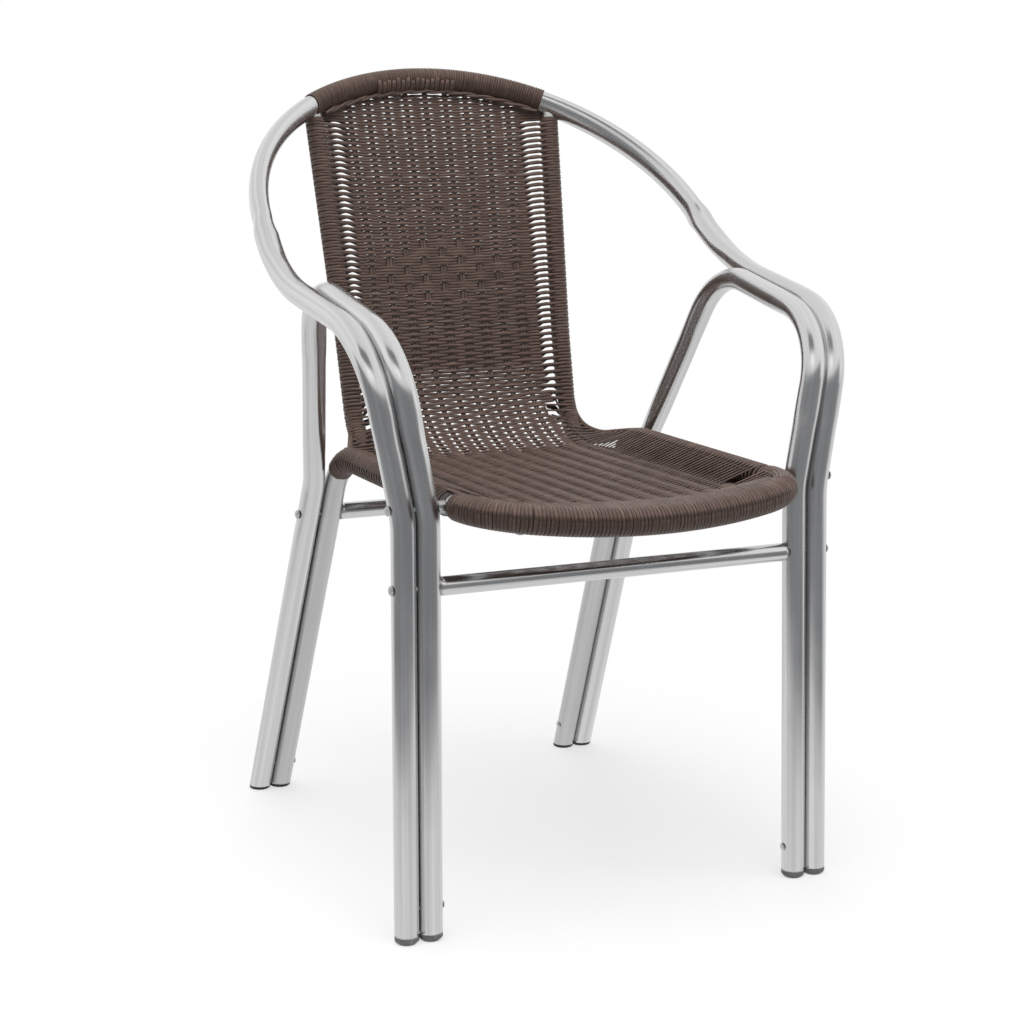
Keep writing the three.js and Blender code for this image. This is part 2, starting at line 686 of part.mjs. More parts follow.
// The seat sheet is level across the weave, rises along both side strips to the side rails, dips between
// front and back, and narrows behind the knuckles.
const seatWeaveHeight = seatRailHeight - seatWeaveDrop;
function seatSurface(u, t) {
  const rear = seatWeaveRear;
  const narrowing = smooth((mix(seatBowSetback, rear, 1 - t) - fanSetback) / (rear - fanSetback));
  const half = mix(-seatRail, fanSpread / 2, narrowing);
  const x = half * u;
  const reach = -seatRail - seatingGap;
  const railY = frontRailAt(THREE.MathUtils.clamp(x, -reach, reach)).y;
  const y = mix(rear, railY, t);
  const strip = Math.max(0, (Math.abs(x) - wovenSpread / 2) / (-seatRail - wovenSpread / 2));
  const level = (Math.abs(x) - levelSpread / 2) / ((dishSpread - levelSpread) / 2);
  const dish = seatDish * Math.sin(Math.PI * THREE.MathUtils.clamp(t, 0, 1)) * (1 - smooth(level));
  const stripRise = sideStripRise * strip * (1 - narrowing / 2);
  const z = seatWeaveHeight + stripRise - dish + seatFrontRise * smooth(2 * t - 1);
  return vector(x, y, z);
}

// Gaps between the straight runs of cane at both sides of the seat
const seatStrip = wovenSpread / 2;
const seatStripGap = [seatStrip / -seatRail, (seatStrip + seatStripGapWidth) / -seatRail];
const seatAcrossGaps = [seatStripGap, [-seatStripGap[1], -seatStripGap[0]]];
const seatInside = Array.from({ length: seatSheetColumns - 1 }, (_, k) => {
  return mix(-seatStripGap[0], seatStripGap[0], (k + 1) / seatSheetColumns);
});
const seatAcross = gapLines([[-1, 1], seatInside, ...seatAcrossGaps]);
const seatLength = seatWeaveRear - frontRailAt(0).y;
const seatAlongGaps = Array.from({ length: seatGapRows }, (_, k) => {
  const from = seatGapsFrom + k * seatGapSpacing;
  return [from / seatLength, (from + gapHeight) / seatLength];
});
const seatAlong = gapLines([[0, 1], ...seatAlongGaps]);
const seatGapAcross = isGap(seatAcross, seatAcrossGaps);
const seatGapAlong = isGap(seatAlong, seatAlongGaps);
const wrapRoom = (path, diameter) => roomAlong(path, diameter, wrapSides);
const seatSheet = cut(
  sheet(seatAcross, seatAlong, seatSurface, weaveThickness, (i, j) => seatGapAcross(i) && seatGapAlong(j)),
  wrapRoom(seatPath, frameWrap),
  ...both(wrapRoom(backPath, backWrap)),
);
place("seat_weave", geometryOf(seatSheet), caneBrown);

// The back sheet turns up from the seat, follows the back rails and leans back to the arch at the top.
// Between the rails it is hollow.
const backSlope = (backTop.y - backFoot.y) / (backTop.z - backFoot.z);
const sheetCorner = vector(0, backFoot.y + (seatWeaveHeight - backFoot.z) * backSlope, seatWeaveHeight);
const sheetTop = vector(0, backTop.y, backTop.z);
const sheetPath = bentPath(
  [
    { point: vector(0, seatWeaveRear + seatingGap, seatWeaveHeight) },
    { point: sheetCorner, radius: seatBackRadius },
    { point: sheetTop },
  ],
  sheetArcStep,
);
const sheetRuns = sheetPath.stations.map((s, i, all) => (i ? s.point.distanceTo(all[i - 1].point) : 0));
const sheetLength = sheetRuns.reduce((sum, run) => sum + run, 0);
function sheetPlace(t) {
  let rest = t * sheetLength;
  for (let i = 1; i < sheetRuns.length; i++) {
    if (rest <= sheetRuns[i] || i === sheetRuns.length - 1) {
      return sheetPath.stations[i - 1].point.clone().lerp(sheetPath.stations[i].point, rest / sheetRuns[i]);
    }
    rest -= sheetRuns[i];
  }
}
function backSurface(u, t) {
  const place = sheetPlace(t);
  const rise = THREE.MathUtils.clamp((place.z - backFoot.z) / (backTop.z - backFoot.z), 0, 1);
  const x = (mix(backFootSpread, backTopSpread, rise) / 2) * u;
  const arch = atSide(hoopPath, THREE.MathUtils.clamp(x, backTop.x, -backTop.x)).point;
  const bow = backHollow * (1 - u * u);
  const height = THREE.MathUtils.clamp((place.z - seatWeaveHeight) / hollowHeight, 0, 1);
  const depth = Math.sin((Math.PI / 2) * height);
  const pull = Math.max(0, (t - archHollowShare) / (1 - archHollowShare)) ** 2;
  place.y += bow * depth + pull * (arch.y - backTop.y - bow);
  place.z += pull * (arch.z - backTop.z);
  return vector(x, place.y, place.z);
}

// Gaps in the weave between neighbouring warps, and between the straight runs at both sides
const backHalf = backFootSpread / 2;
const warpGapShares = Array.from({ length: warpGaps }, (_, k) => {
  const warp = (k - warpGaps / 2) * warpSpacing;
  return [(warp + warpBand / 2) / backHalf, (warp + warpSpacing - warpBand / 2) / backHalf];
});
const backStrip = (warpGaps / 2) * warpSpacing + backEdgeBand;
const backStripGap = [backStrip / backHalf, (backStrip + stripGapWidth) / backHalf];
const backAcrossGaps = [...warpGapShares, backStripGap, [-backStripGap[1], -backStripGap[0]]];
const backAcross = gapLines([[-1, 1], ...backAcrossGaps]);
const backAlongGaps = Array.from({ length: backGapRows }, (_, k) => {
  const from = backGapsFrom + k * backGapSpacing;
  return [from / sheetLength, (from + gapHeight) / sheetLength];
});
const bendLines = sheetPath.stations.slice(1, -1).map((s, i) => {
  return sheetRuns.slice(1, i + 2).reduce((sum, run) => sum + run, 0) / sheetLength;
});
const backAlong = gapLines([[0, 1], bendLines, ...backAlongGaps]);
const backGapAcross = isGap(backAcross, backAcrossGaps);
const backGapAlong = isGap(backAlong, backAlongGaps);
const backSheet = cut(
  sheet(backAcross, backAlong, backSurface, weaveThickness, (i, j) => backGapAcross(i) && backGapAlong(j)),
  wrapRoom(hoopPath, frameWrap),
  ...both(wrapRoom(backPath, backWrap)),
);
place("back_weave", geometryOf(backSheet), caneBrown);

// The chair stands on the floor with its depth centred on the origin
const chair = new THREE.Group();
meshes.forEach((mesh) => chair.add(mesh));
const extent = new THREE.Box3().setFromObject(chair);
chair.position.y = -(extent.min.y + extent.max.y) / 2;

export default chair;
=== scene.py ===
"""A stacking terrace armchair: bent aluminium tubes with a seat and back woven from brown plastic cane.

Lengths in this file are millimetres until a mesh is made. Heights (z) are above the floor, setbacks (y) are
measured rearwards from the front feet, and x is to the right as seen from the front.
"""
import json
import math

import bpy
import numpy as np
from mathutils import Matrix, Vector


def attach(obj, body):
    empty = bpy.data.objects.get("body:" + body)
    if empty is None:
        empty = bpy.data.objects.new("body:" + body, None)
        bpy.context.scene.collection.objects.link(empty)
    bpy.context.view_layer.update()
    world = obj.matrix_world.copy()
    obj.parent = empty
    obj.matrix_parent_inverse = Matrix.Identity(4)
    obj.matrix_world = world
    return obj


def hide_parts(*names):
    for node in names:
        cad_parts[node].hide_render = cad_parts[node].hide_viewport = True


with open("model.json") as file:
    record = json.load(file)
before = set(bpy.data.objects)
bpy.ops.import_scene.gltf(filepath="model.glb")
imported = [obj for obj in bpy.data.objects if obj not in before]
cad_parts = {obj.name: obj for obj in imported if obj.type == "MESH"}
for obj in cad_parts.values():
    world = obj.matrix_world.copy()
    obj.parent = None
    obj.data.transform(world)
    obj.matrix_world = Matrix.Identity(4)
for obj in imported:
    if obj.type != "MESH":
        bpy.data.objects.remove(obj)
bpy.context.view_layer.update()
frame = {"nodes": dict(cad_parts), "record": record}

MM = 0.001
DEPTH_CENTRE = 223.916
rng = np.random.default_rng(11)

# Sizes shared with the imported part. The tubes are cut level at these heights, above their glides
TUBE = 25.0
BACK_TUBE = 19.0
STRETCHER = 19.0
CANE = 1.5
FRONT_CUT, REAR_CUT = 7.5, 4.2

# Centre lines on the left side: x, setback, height and bend radius
HOOP_SIDE = [
    (-236.5, 0, 0, 0),
    (-233, 9, 423, 120),
    (-265.5, 16, 600, 92),
    (-273.5, 256, 640, 260),
    (-242.5, 521.647, 849.795, 265.72),
]
ARM_SIDE = [
    (-211.2, 0, 0, 0),
    (-207.7, 9, 425.3, 120),
    (-238.859, 12, 595, 80),
    (-242.5, 231, 638, 74),
    (-204.9, 348, 406, 117),
    (-218.5, 529, 0, 0),
]
SEAT_SIDE = [
    (-193.2, 529, 0, 0),
    (-178.562, 334.18, 437, 72),
    (-178.562, -49, 433.7, 68),
]
SEAT_BOW = (0, -98.5, 414, 455)
BACK_SIDE = [
    (-150.5, 490.062, 819.322, 0),
    (-137.5, 426.4, 550, 900),
    (-134.5, 394, 417, 78),
    (-134.5, -51.7, 421.2, 0),
]
BACK_RAIL_GAPS = (6.0, 4.0)

# The stretchers' right ends: x, setback and height
FRONT_STRETCHER_END = (197.5, 7.533, 356)
REAR_STRETCHER_END = (169.4, 365.387, 367)

# Where each group reads its patterns: far apart, so that no two tubes or strands look alike
TAGS = {
    "arm tubes": 2.0, "back rails": 4.0, "seat frame": 6.0, "front stretcher": 7.0, "rear stretcher": 8.0,
    "warps": 200.0, "arch": 401.0, "front rail": 402.0, "back rail turns": 403.0, "side rail turns": 405.0,
    "rim": 407.0, "twisted pair": 431.0, "ties": 440.0, "left corner": 450.0, "right corner": 460.0,
    # Shade sleeves: tubes painted near-black under the windings, as painted shade between the turns
    "back shade sleeve": 501.0, "side shade sleeve": 502.0,
    "front shade sleeve": 503.0, "arch shade sleeve": 504.0,
}
ROW_TAG_STEP, STRAND_TAG_STEP = 1.7, 0.37
WARP_TAG_STEP, HALF_WARP_TAG = 3.3, 0.7


# Centre lines


def mirrored(corners):
    """The corners of the right side, from the end back to the start."""
    return [(-x, y, z, r) for x, y, z, r in reversed(corners)]


def unit(v):
    """Vectors divided by their lengths."""
    v = np.asarray(v, float)
    return v / np.maximum(np.linalg.norm(v, axis=-1, keepdims=True), 1e-12)


def square_to(v, way):
    """Unit vectors along what is left of v at right angles to unit directions."""
    v = np.asarray(v, float)
    return unit(v - np.sum(v * way, axis=-1, keepdims=True) * way)


def smooth(t):
    """3t^2 - 2t^3 for t held between 0 and 1."""
    t = np.clip(t, 0, 1)
    return t * t * (3 - 2 * t)


def lengths_of(path):
    """The length along a path up to each of its points."""
    return np.concatenate([[0], np.cumsum(np.linalg.norm(np.diff(path, axis=0), axis=1))])


class Line:
    """A centre line as close points, with its lengths, bend sides and bend amounts (1 / radius)."""

    step = 0.25

    def __init__(self, point, side=None, amount=None):
        length = lengths_of(point)
        keep = np.concatenate([[True], np.diff(length) > 1e-6])
        self.point, self.length = point[keep], length[keep]
        self.side = np.zeros(self.point.shape) if side is None else side[keep]
        self.amount = np.zeros(len(self.point)) if amount is None else amount[keep]
        self.total = float(self.length[-1])

    def at(self, s):
        """Points at lengths s."""
        return np.stack([np.interp(s, self.length, self.point[:, k]) for k in range(3)], -1)

    def along(self, s, reach=0.5):
        """Directions at lengths s, as central differences."""
        s = np.clip(s, reach, self.total - reach)
        return unit(self.at(s + reach) - self.at(s - reach))

    def bend_side(self, s):
        """The side towards which the line bends at lengths s, or zeros on a straight run."""
        return np.stack([np.interp(s, self.length, self.side[:, k]) for k in range(3)], -1)

    def where(self, axis, value, first=0.0, last=None):
        """The length at which the line first crosses a plane, between two lengths."""
        s = np.arange(first, self.total if last is None else last, self.step)
        d = self.at(s)[:, axis] - value
        crossing = np.nonzero(d[:-1] * d[1:] <= 0)[0][0]
        return float(s[crossing] + self.step * d[crossing] / (d[crossing] - d[crossing + 1]))

    def stations(self, start, end, fine=3.0, coarse=5.5):
        """Lengths that stand close together in bends and further apart on straight runs."""
        s, out = start, [start]
        while s < end - 1e-6:
            bent = np.interp([s, s + fine], self.length, self.amount).max() > 1e-6
            s = min(end, s + (fine if bent else coarse))
            out.append(s)
        return np.array(out)


def bent_line(corners, spacing=3.0):
    """A line of straight runs between corners, with an arc of its own radius at each inner corner.

    The arc is tangent to both runs: start + r sin(a) arriving + r (1 - cos(a)) inwards, for a from 0 to
    the turn.
    """
    corner = np.array([c[:3] for c in corners], float)
    pieces, sides, amounts = [corner[:1]], [np.zeros((1, 3))], [np.zeros(1)]
    for i in range(1, len(corner) - 1):
        arriving = unit(corner[i] - corner[i - 1])
        leaving = unit(corner[i + 1] - corner[i])
        turn = math.acos(float(np.clip(arriving @ leaving, -1, 1)))
        radius = corners[i][3]
        start = corner[i] - arriving * radius * math.tan(turn / 2)
        inwards = square_to(leaving, arriving)
        a = np.linspace(0, turn, max(3, math.ceil(turn * radius / spacing)))[:, None]
        pieces.append(start + radius * (np.sin(a) * arriving + (1 - np.cos(a)) * inwards))
        sides.append(np.cos(a) * inwards - np.sin(a) * arriving)
        amounts.append(np.full(len(a), 1.0 / radius))
    pieces.append(corner[-1:])
    sides.append(np.zeros((1, 3)))
    amounts.append(np.zeros(1))
    return Line(np.concatenate(pieces), np.concatenate(sides), np.concatenate(amounts))


hoop = bent_line(HOOP_SIDE + mirrored(HOOP_SIDE))
arm = bent_line(ARM_SIDE)
seat_frame = bent_line(SEAT_SIDE + [SEAT_BOW] + mirrored(SEAT_SIDE))
back_rail = bent_line(BACK_SIDE)

# Lengths past which a search along a tube starts, to find the arch, the arm, the rear leg or the rail
HOOP_ARM, HOOP_ARCH = 560.0, 700.0
ARM_LEVEL, ARM_REAR_LEG = 560.0, 800.0
SEAT_RAIL = 300.0
BACK_RAIL_SEAT = 400.0
seat_middle = seat_frame.total / 2


# Meshes

# A strand's section, one unit wide: flat underneath and rounded on top, anticlockwise
SECTION_X = np.array([-0.5, -0.32, 0.32, 0.5, 0.36, 0.0, -0.36])
SECTION_Y = np.array([-0.15, -0.5, -0.5, -0.15, 0.3, 0.5, 0.3]) * CANE


class Shape:
    """Vertices, faces and surface coordinates gathered from several tubes or strands, for one mesh."""

    def __init__(self):
        self.points, self.faces, self.coordinates, self.count = [], [], [], 0

    def strand(self, path, normal, width, tag):
        """A cane strand: point = path + x width side + y normal, for the section's points (x, y).

        side = normal x direction. Each point keeps its place on the section, its length along the path in
        metres and the strand's tag.
        """
        path = np.asarray(path, float)
        direction = unit(np.gradient(path, axis=0))
        side = unit(np.cross(normal, direction))
        normal = np.cross(direction, side)
        width = np.broadcast_to(width, (len(path),))[:, None, None]
        x, y = SECTION_X[None, :, None], SECTION_Y[None, :, None]
        points = path[:, None] + width * x * side[:, None] + y * normal[:, None]
        coordinates = np.zeros(points.shape)
        coordinates[..., 0] = SECTION_X
        coordinates[..., 1] = lengths_of(path)[:, None] * MM
        coordinates[..., 2] = tag
        self.skin(points, coordinates)

    def skin(self, points, coordinates):
        """Faces round a grid of rings, with a cap at both ends."""
        n, m = points.shape[:2]
        index = self.count + np.arange(n * m).reshape(n, m)
        a, b = index[:-1], index[1:]
        quads = np.stack([a, np.roll(a, -1, 1), np.roll(b, -1, 1), b], -1).reshape(-1, 4)
        self.faces.extend(quads.tolist())
        self.faces.append(index[0][::-1].tolist())
        self.faces.append(index[-1].tolist())
        self.points.append(points.reshape(-1, 3))
        self.coordinates.append(coordinates.reshape(-1, 3))
        self.count += n * m

    def mesh(self, name, material, slot, replaced=()):
        """One smooth-shaded object at the origin, in metres and in the part's frame."""
        points = np.concatenate(self.points) * MM
        points[:, 1] -= DEPTH_CENTRE * MM
        data = bpy.data.meshes.new(name)
        data.from_pydata(points.tolist(), [], self.faces)
        attribute = data.attributes.new("lay", "FLOAT_VECTOR", "POINT")
        attribute.data.foreach_set("vector", np.concatenate(self.coordinates).astype(np.float32).ravel())
        data.polygons.foreach_set("use_smooth", np.ones(len(data.polygons), bool))
        data.update()
        data.materials.append(material)
        piece = bpy.data.objects.new(name, data)
        bpy.context.scene.collection.objects.link(piece)
        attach(piece, "root")
        if replaced:
            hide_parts(*replaced)


# Aluminium frame

PRESS_EASE = 40.0
OVAL_SPREAD = 0.8
FOOT_BLEND = 60.0


def circle(sides):
    """Points on a unit circle, anticlockwise."""
    a = np.linspace(0, 2 * math.pi, sides, endpoint=False)
    return np.stack([np.cos(a), np.sin(a)], -1)


def carried_normal(path):
    """A normal that turns as little as possible along a path."""
    direction = unit(np.gradient(path, axis=0))
    normal = [unit(np.cross(direction[0], [0.3, 0.8, 0.52]))]
    for way in direction[1:]:
        normal.append(square_to(normal[-1], way))
    return np.array(normal)


def pressed(s, presses):
    """How much narrower the tube is in its bend plane, eased at the ends of each pressed stretch."""
    near = np.zeros(len(s))
    for first, last, amount in presses:
        ease = smooth((s - first) / PRESS_EASE + 0.5) * smooth((last - s) / PRESS_EASE + 0.5)
        near = np.maximum(near, amount * ease)
    return near


def tube(shape, line, start, end, diameter, presses=(), sides=40, mirror=False, tag=0.0, feet=False):
    """A round tube, pressed a little oval where it bends.

    point = line + r cos(a) across + r sin(a) normal, and the part of that offset in the bend plane is
    multiplied by 1 - q and the part across it by 1 + 0.8 q. Ends that are feet are cut level: close to
    them each point slides along the tube by minus its offset's height / the direction's height.
    """
    s = line.stations(start, end)
    path = line.at(s)
    normal = carried_normal(path)
    direction = unit(np.gradient(path, axis=0))
    across = np.cross(normal, direction)
    ring = circle(sides)
    spoke = ring[:, 0][None, :, None] * across[:, None] + ring[:, 1][None, :, None] * normal[:, None]
    offset = diameter / 2 * spoke
    if presses:
        q = pressed(s, presses)[:, None, None]
        bend = line.bend_side(s)
        known = np.nonzero(np.linalg.norm(bend, axis=1) >= 0.5)[0]
        nearest = known[np.abs(np.arange(len(s))[:, None] - known[None]).argmin(1)]
        bend = square_to(bend[nearest], direction)
        inward = np.sum(offset * bend[:, None], 2, keepdims=True) * bend[:, None]
        offset = inward * (1 - q) + (offset - inward) * (1 + OVAL_SPREAD * q)
    points = path[:, None] + offset
    if feet:
        near_end = np.clip(1 - np.minimum(s - s[0], s[-1] - s) / FOOT_BLEND, 0, 1)
        climb = np.where(near_end > 0, direction[:, 2], 1.0)
        slide = -offset[..., 2] * (near_end / climb)[:, None]
        points = points + slide[..., None] * direction[:, None]
    coordinates = np.zeros(points.shape)
    coordinates[..., 0] = ring[:, 0][None] * diameter / 2 * MM
    coordinates[..., 1] = s[:, None] * MM
    coordinates[..., 2] = ring[:, 1][None] * diameter / 2 * MM + tag
    if mirror:
        points = points * [-1, 1, 1]
        points, coordinates = points[:, ::-1], coordinates[:, ::-1]
    shape.skin(points, coordinates)


# Materials


class Nodes:
    """Adds and joins the nodes of one material or world."""

    def __init__(self, owner):
        owner.use_nodes = True
        self.tree = owner.node_tree
        self.tree.nodes.clear()

    def node(self, kind, **settings):
        made = self.tree.nodes.new(kind)
        for key, value in settings.items():
            setattr(made, key, value)
        return made

    def join(self, source, target):
        self.tree.links.new(source, target)

    def math(self, operation, *values):
        """A Math node on sockets and numbers."""
        made = self.node("ShaderNodeMath", operation=operation)
        for socket, value in zip(made.inputs, values):
            if isinstance(value, bpy.types.NodeSocket):
                self.join(value, socket)
            else:
                socket.default_value = value
        return made.outputs[0]

    def mixed(self, share, first, second):
        """The first shader where share is 0 and the second where it is 1."""
        made = self.node("ShaderNodeMixShader")
        for socket, source in zip(made.inputs, (share, first, second)):
            self.join(source, socket)
        return made.outputs[0]


class Finish(Nodes):
    """A material with one main shader, and the patterns that feed it."""

    def __init__(self, name):
        self.material = bpy.data.materials.new(name)
        super().__init__(self.material)
        self.output = self.node("ShaderNodeOutputMaterial")
        self.shader = self.node("ShaderNodeBsdfPrincipled")
        self.join(self.shader.outputs["BSDF"], self.output.inputs["Surface"])

    def feed(self, source, socket):
        """Joins a pattern to a socket of the main shader."""
        self.join(source, self.shader.inputs[socket])

    def set(self, **values):
        for key, value in values.items():
            self.shader.inputs[key.replace("_", " ")].default_value = value

    def lay(self, scale):
        """The piece's own surface coordinate, stretched by a scale on each axis."""
        attribute = self.node("ShaderNodeAttribute", attribute_name="lay")
        stretch = self.node("ShaderNodeVectorMath", operation="MULTIPLY")
        stretch.inputs[1].default_value = scale
        self.join(attribute.outputs["Vector"], stretch.inputs[0])
        return stretch.outputs["Vector"]

    def noise(self, vector, scale=1.0, detail=3.0, roughness=0.55):
        made = self.node("ShaderNodeTexNoise")
        made.inputs["Scale"].default_value = scale
        made.inputs["Detail"].default_value = detail
        made.inputs["Roughness"].default_value = roughness
        self.join(vector, made.inputs["Vector"])
        return made.outputs["Fac"]

    def ramp(self, source, stops):
        """Colours between stops (place, colour)."""
        made = self.node("ShaderNodeValToRGB")
        elements = made.color_ramp.elements
        while len(elements) < len(stops):
            elements.new(0.5)
        for element, (place, colour) in zip(elements, stops):
            element.position = place
            element.color = (*colour, 1)
        self.join(source, made.inputs["Fac"])
        return made.outputs["Color"]

    def spread(self, source, low, high, from_low=0.0, from_high=1.0):
        """A value between from_low and from_high carried to between low and high."""
        made = self.node("ShaderNodeMapRange")
        made.inputs["From Min"].default_value = from_low
        made.inputs["From Max"].default_value = from_high
        made.inputs["To Min"].default_value = low
        made.inputs["To Max"].default_value = high
        self.join(source, made.inputs["Value"])
        return made.outputs["Result"]

    def bump(self, height, strength, distance):
        made = self.node("ShaderNodeBump")
        made.inputs["Strength"].default_value = strength
        made.inputs["Distance"].default_value = distance
        self.join(height, made.inputs["Height"])
        self.feed(made.outputs["Normal"], "Normal")

    def glow(self, colour):
        """An even light of a colour of its own."""
        made = self.node("ShaderNodeEmission")
        made.inputs["Color"].default_value = (*colour, 1)
        return made


def srgb(r, g, b):
    """An sRGB colour of 0 to 255 as a linear colour."""
    def linear(c):
        c = c / 255
        return c / 12.92 if c <= 0.04045 else ((c + 0.055) / 1.055) ** 2.4
    return tuple(linear(c) for c in (r, g, b))


def grey(value):
    """An sRGB grey of 0 to 255 as a linear colour."""
    return srgb(value, value, value)


# Scales of the patterns. Tubes: across, along, across again. Cane: across, along, from strand to strand
DRAWN_LINES, DRAWN_BANDS, DRAWN_CLOUDS = (900, 6, 900), (160, 1.5, 160), (30, 14, 30)
CANE_GRAIN, CANE_STREAKS, CANE_OWN_SHADE = (9, 9, 31), (2.5, 45, 17), (0, 0.35, 12.7)
PALE_SHADE, DEEP_SHADE = (1.08, 1.06, 1.05), (0.80, 0.79, 0.78)


def drawn_aluminium(name, base, dark, rough_low, rough_high, line_strength):
    """Drawn tube: fine lines and faint bands along the tube, and a cloudy change of gloss."""
    finish = Finish(name)
    fine = finish.noise(finish.lay(DRAWN_LINES), detail=4)
    bands = finish.noise(finish.lay(DRAWN_BANDS), detail=2)
    cloud = finish.noise(finish.lay(DRAWN_CLOUDS))
    finish.feed(finish.ramp(bands, [(0.3, dark), (0.7, base)]), "Base Color")
    gloss = finish.math("MULTIPLY_ADD", fine, 0.5, cloud)
    finish.feed(finish.spread(gloss, rough_low, rough_high, 0.5, 1.0), "Roughness")
    finish.bump(fine, line_strength, 0.0002)
    finish.set(Metallic=1.0)
    return finish.material


def cane_plastic(name, dark, middle, light):
    """Extruded plastic cane: fine lengthwise grain, a shade of its own for each strand, and a soft sheen."""
    finish = Finish(name)
    grain = finish.noise(finish.lay(CANE_GRAIN), detail=4, roughness=0.65)
    streak = finish.noise(finish.lay(CANE_STREAKS), detail=2)
    own = finish.noise(finish.lay(CANE_OWN_SHADE), detail=1)
    pattern = finish.spread(finish.math("MULTIPLY_ADD", grain, 0.55, streak), 0.0, 1.0, 0.45, 1.1)
    tone = finish.node("ShaderNodeMix", data_type="RGBA", blend_type="MULTIPLY")
    tone.inputs["Factor"].default_value = 1.0
    finish.join(finish.ramp(pattern, [(0.0, dark), (0.5, middle), (1.0, light)]), tone.inputs["A"])
    finish.join(finish.ramp(own, [(0.3, DEEP_SHADE), (0.7, PALE_SHADE)]), tone.inputs["B"])
    finish.feed(tone.outputs["Result"], "Base Color")
    finish.feed(finish.spread(grain, 0.3, 0.5, 0.3, 0.7), "Roughness")
    finish.bump(grain, 0.35, 0.0003)
    finish.set(Metallic=0.0, Specular_IOR_Level=0.4)
    return finish.material


def moulded_plastic(name, base, scuffed):
    """Moulded plastic with a faint pebbled skin, lighter where it has scuffed."""
    finish = Finish(name)
    place = finish.node("ShaderNodeTexCoord").outputs["Object"]
    pebble = finish.noise(place, 900.0)
    scuff = finish.noise(place, 130.0, detail=4)
    finish.feed(finish.ramp(scuff, [(0.45, base), (0.7, scuffed)]), "Base Color")
    finish.feed(finish.spread(scuff, 0.45, 0.75, 0.3, 0.7), "Roughness")
    finish.bump(pebble, 0.25, 0.0003)
    return finish.material


polished = drawn_aluminium("polished_aluminium", grey(220), grey(194), 0.16, 0.3, 0.08)
satin = drawn_aluminium("satin_aluminium", grey(200), grey(180), 0.26, 0.42, 0.10)
zinc = drawn_aluminium("zinc_plated", grey(190), grey(165), 0.22, 0.42, 0.10)
cane = cane_plastic("brown_cane", srgb(60, 46, 41), srgb(86, 69, 62), srgb(116, 98, 90))
# Cane painted near-black: painted shade for the rows' ends under the seat's edges and for the sleeves under
# the windings
shade_painted_cane = cane_plastic("shade_painted_cane", srgb(22, 14, 11), srgb(32, 21, 17), srgb(44, 31, 26))
grey_plastic = moulded_plastic("grey_plastic", grey(112), grey(140))
black_plastic = moulded_plastic("black_plastic", grey(30), grey(58))


# Aluminium frame pieces

FRONT_BEND_PRESS, ARCH_PRESS, REAR_BEND_PRESS, KNEE_PRESS = 0.07, 0.15, 0.09, 0.06
FRONT_BEND_HEIGHT, FRONT_BEND_SETBACK = 500.0, 90.0
ARCH_PRESS_HEIGHT = 655.0
REAR_BEND_SETBACK, REAR_BEND_HEIGHT = 200.0, 560.0
KNEE_HEIGHTS = (460.0, 350.0)

hoop_bend = hoop.where(2, FRONT_BEND_HEIGHT), hoop.where(1, FRONT_BEND_SETBACK, HOOP_ARM)
arch_start = hoop.where(2, ARCH_PRESS_HEIGHT, HOOP_ARCH)
hoop_press = [
    (*hoop_bend, FRONT_BEND_PRESS),
    (arch_start, hoop.total - arch_start, ARCH_PRESS),
    (hoop.total - hoop_bend[1], hoop.total - hoop_bend[0], FRONT_BEND_PRESS),
]
arm_bend = arm.where(2, FRONT_BEND_HEIGHT), arm.where(1, FRONT_BEND_SETBACK, ARM_LEVEL)
rear_bend = arm.where(1, REAR_BEND_SETBACK, ARM_LEVEL), arm.where(2, REAR_BEND_HEIGHT, ARM_REAR_LEG)
knee = [arm.where(2, height, ARM_REAR_LEG) for height in KNEE_HEIGHTS]
arm_press = [(*arm_bend, FRONT_BEND_PRESS), (*rear_bend, REAR_BEND_PRESS), (*knee, KNEE_PRESS)]

shape = Shape()
hoop_foot = hoop.where(2, FRONT_CUT)
tube(shape, hoop, hoop_foot, hoop.total - hoop_foot, TUBE, hoop_press, feet=True)
shape.mesh("hoop_tube_smooth", polished, "polished_aluminium", ["hoop_tube"])
for side, mirror in (("left", False), ("right", True)):
    shape = Shape()
    arm_feet = arm.where(2, FRONT_CUT), arm.where(2, REAR_CUT, ARM_REAR_LEG)
    tube(shape, arm, *arm_feet, TUBE, arm_press, mirror=mirror, tag=TAGS["arm tubes"] + mirror, feet=True)
    shape.mesh(side + "_arm_tube_smooth", polished, "polished_aluminium", [side + "_arm_tube"])
    shape = Shape()
    rail_ends = BACK_RAIL_GAPS[0], back_rail.total - BACK_RAIL_GAPS[1]
    tube(shape, back_rail, *rail_ends, BACK_TUBE, sides=28, mirror=mirror, tag=TAGS["back rails"] + mirror)
    shape.mesh(side + "_back_rail_smooth", satin, "satin_aluminium", [side + "_back_rail"])
shape = Shape()
seat_foot = seat_frame.where(2, REAR_CUT)
tube(shape, seat_frame, seat_foot, seat_frame.total - seat_foot, TUBE, tag=TAGS["seat frame"], feet=True)
shape.mesh("seat_frame_tube_smooth", satin, "satin_aluminium", ["seat_frame_tube"])
for name, end in (("front_stretcher", FRONT_STRETCHER_END), ("rear_stretcher", REAR_STRETCHER_END)):
    shape = Shape()
    x, y, z = end
    bar = bent_line([(-x, y, z, 0), (x, y, z, 0)])
    tube(shape, bar, 0, bar.total, STRETCHER, sides=32, tag=TAGS[name.replace("_", " ")])
    shape.mesh(name + "_smooth", polished, "polished_aluminium", [name])


# Turns of cane round a tube

FLAT_SHARE = 0.5
COIL_STATIONS, RIM_STATIONS = 20, 12


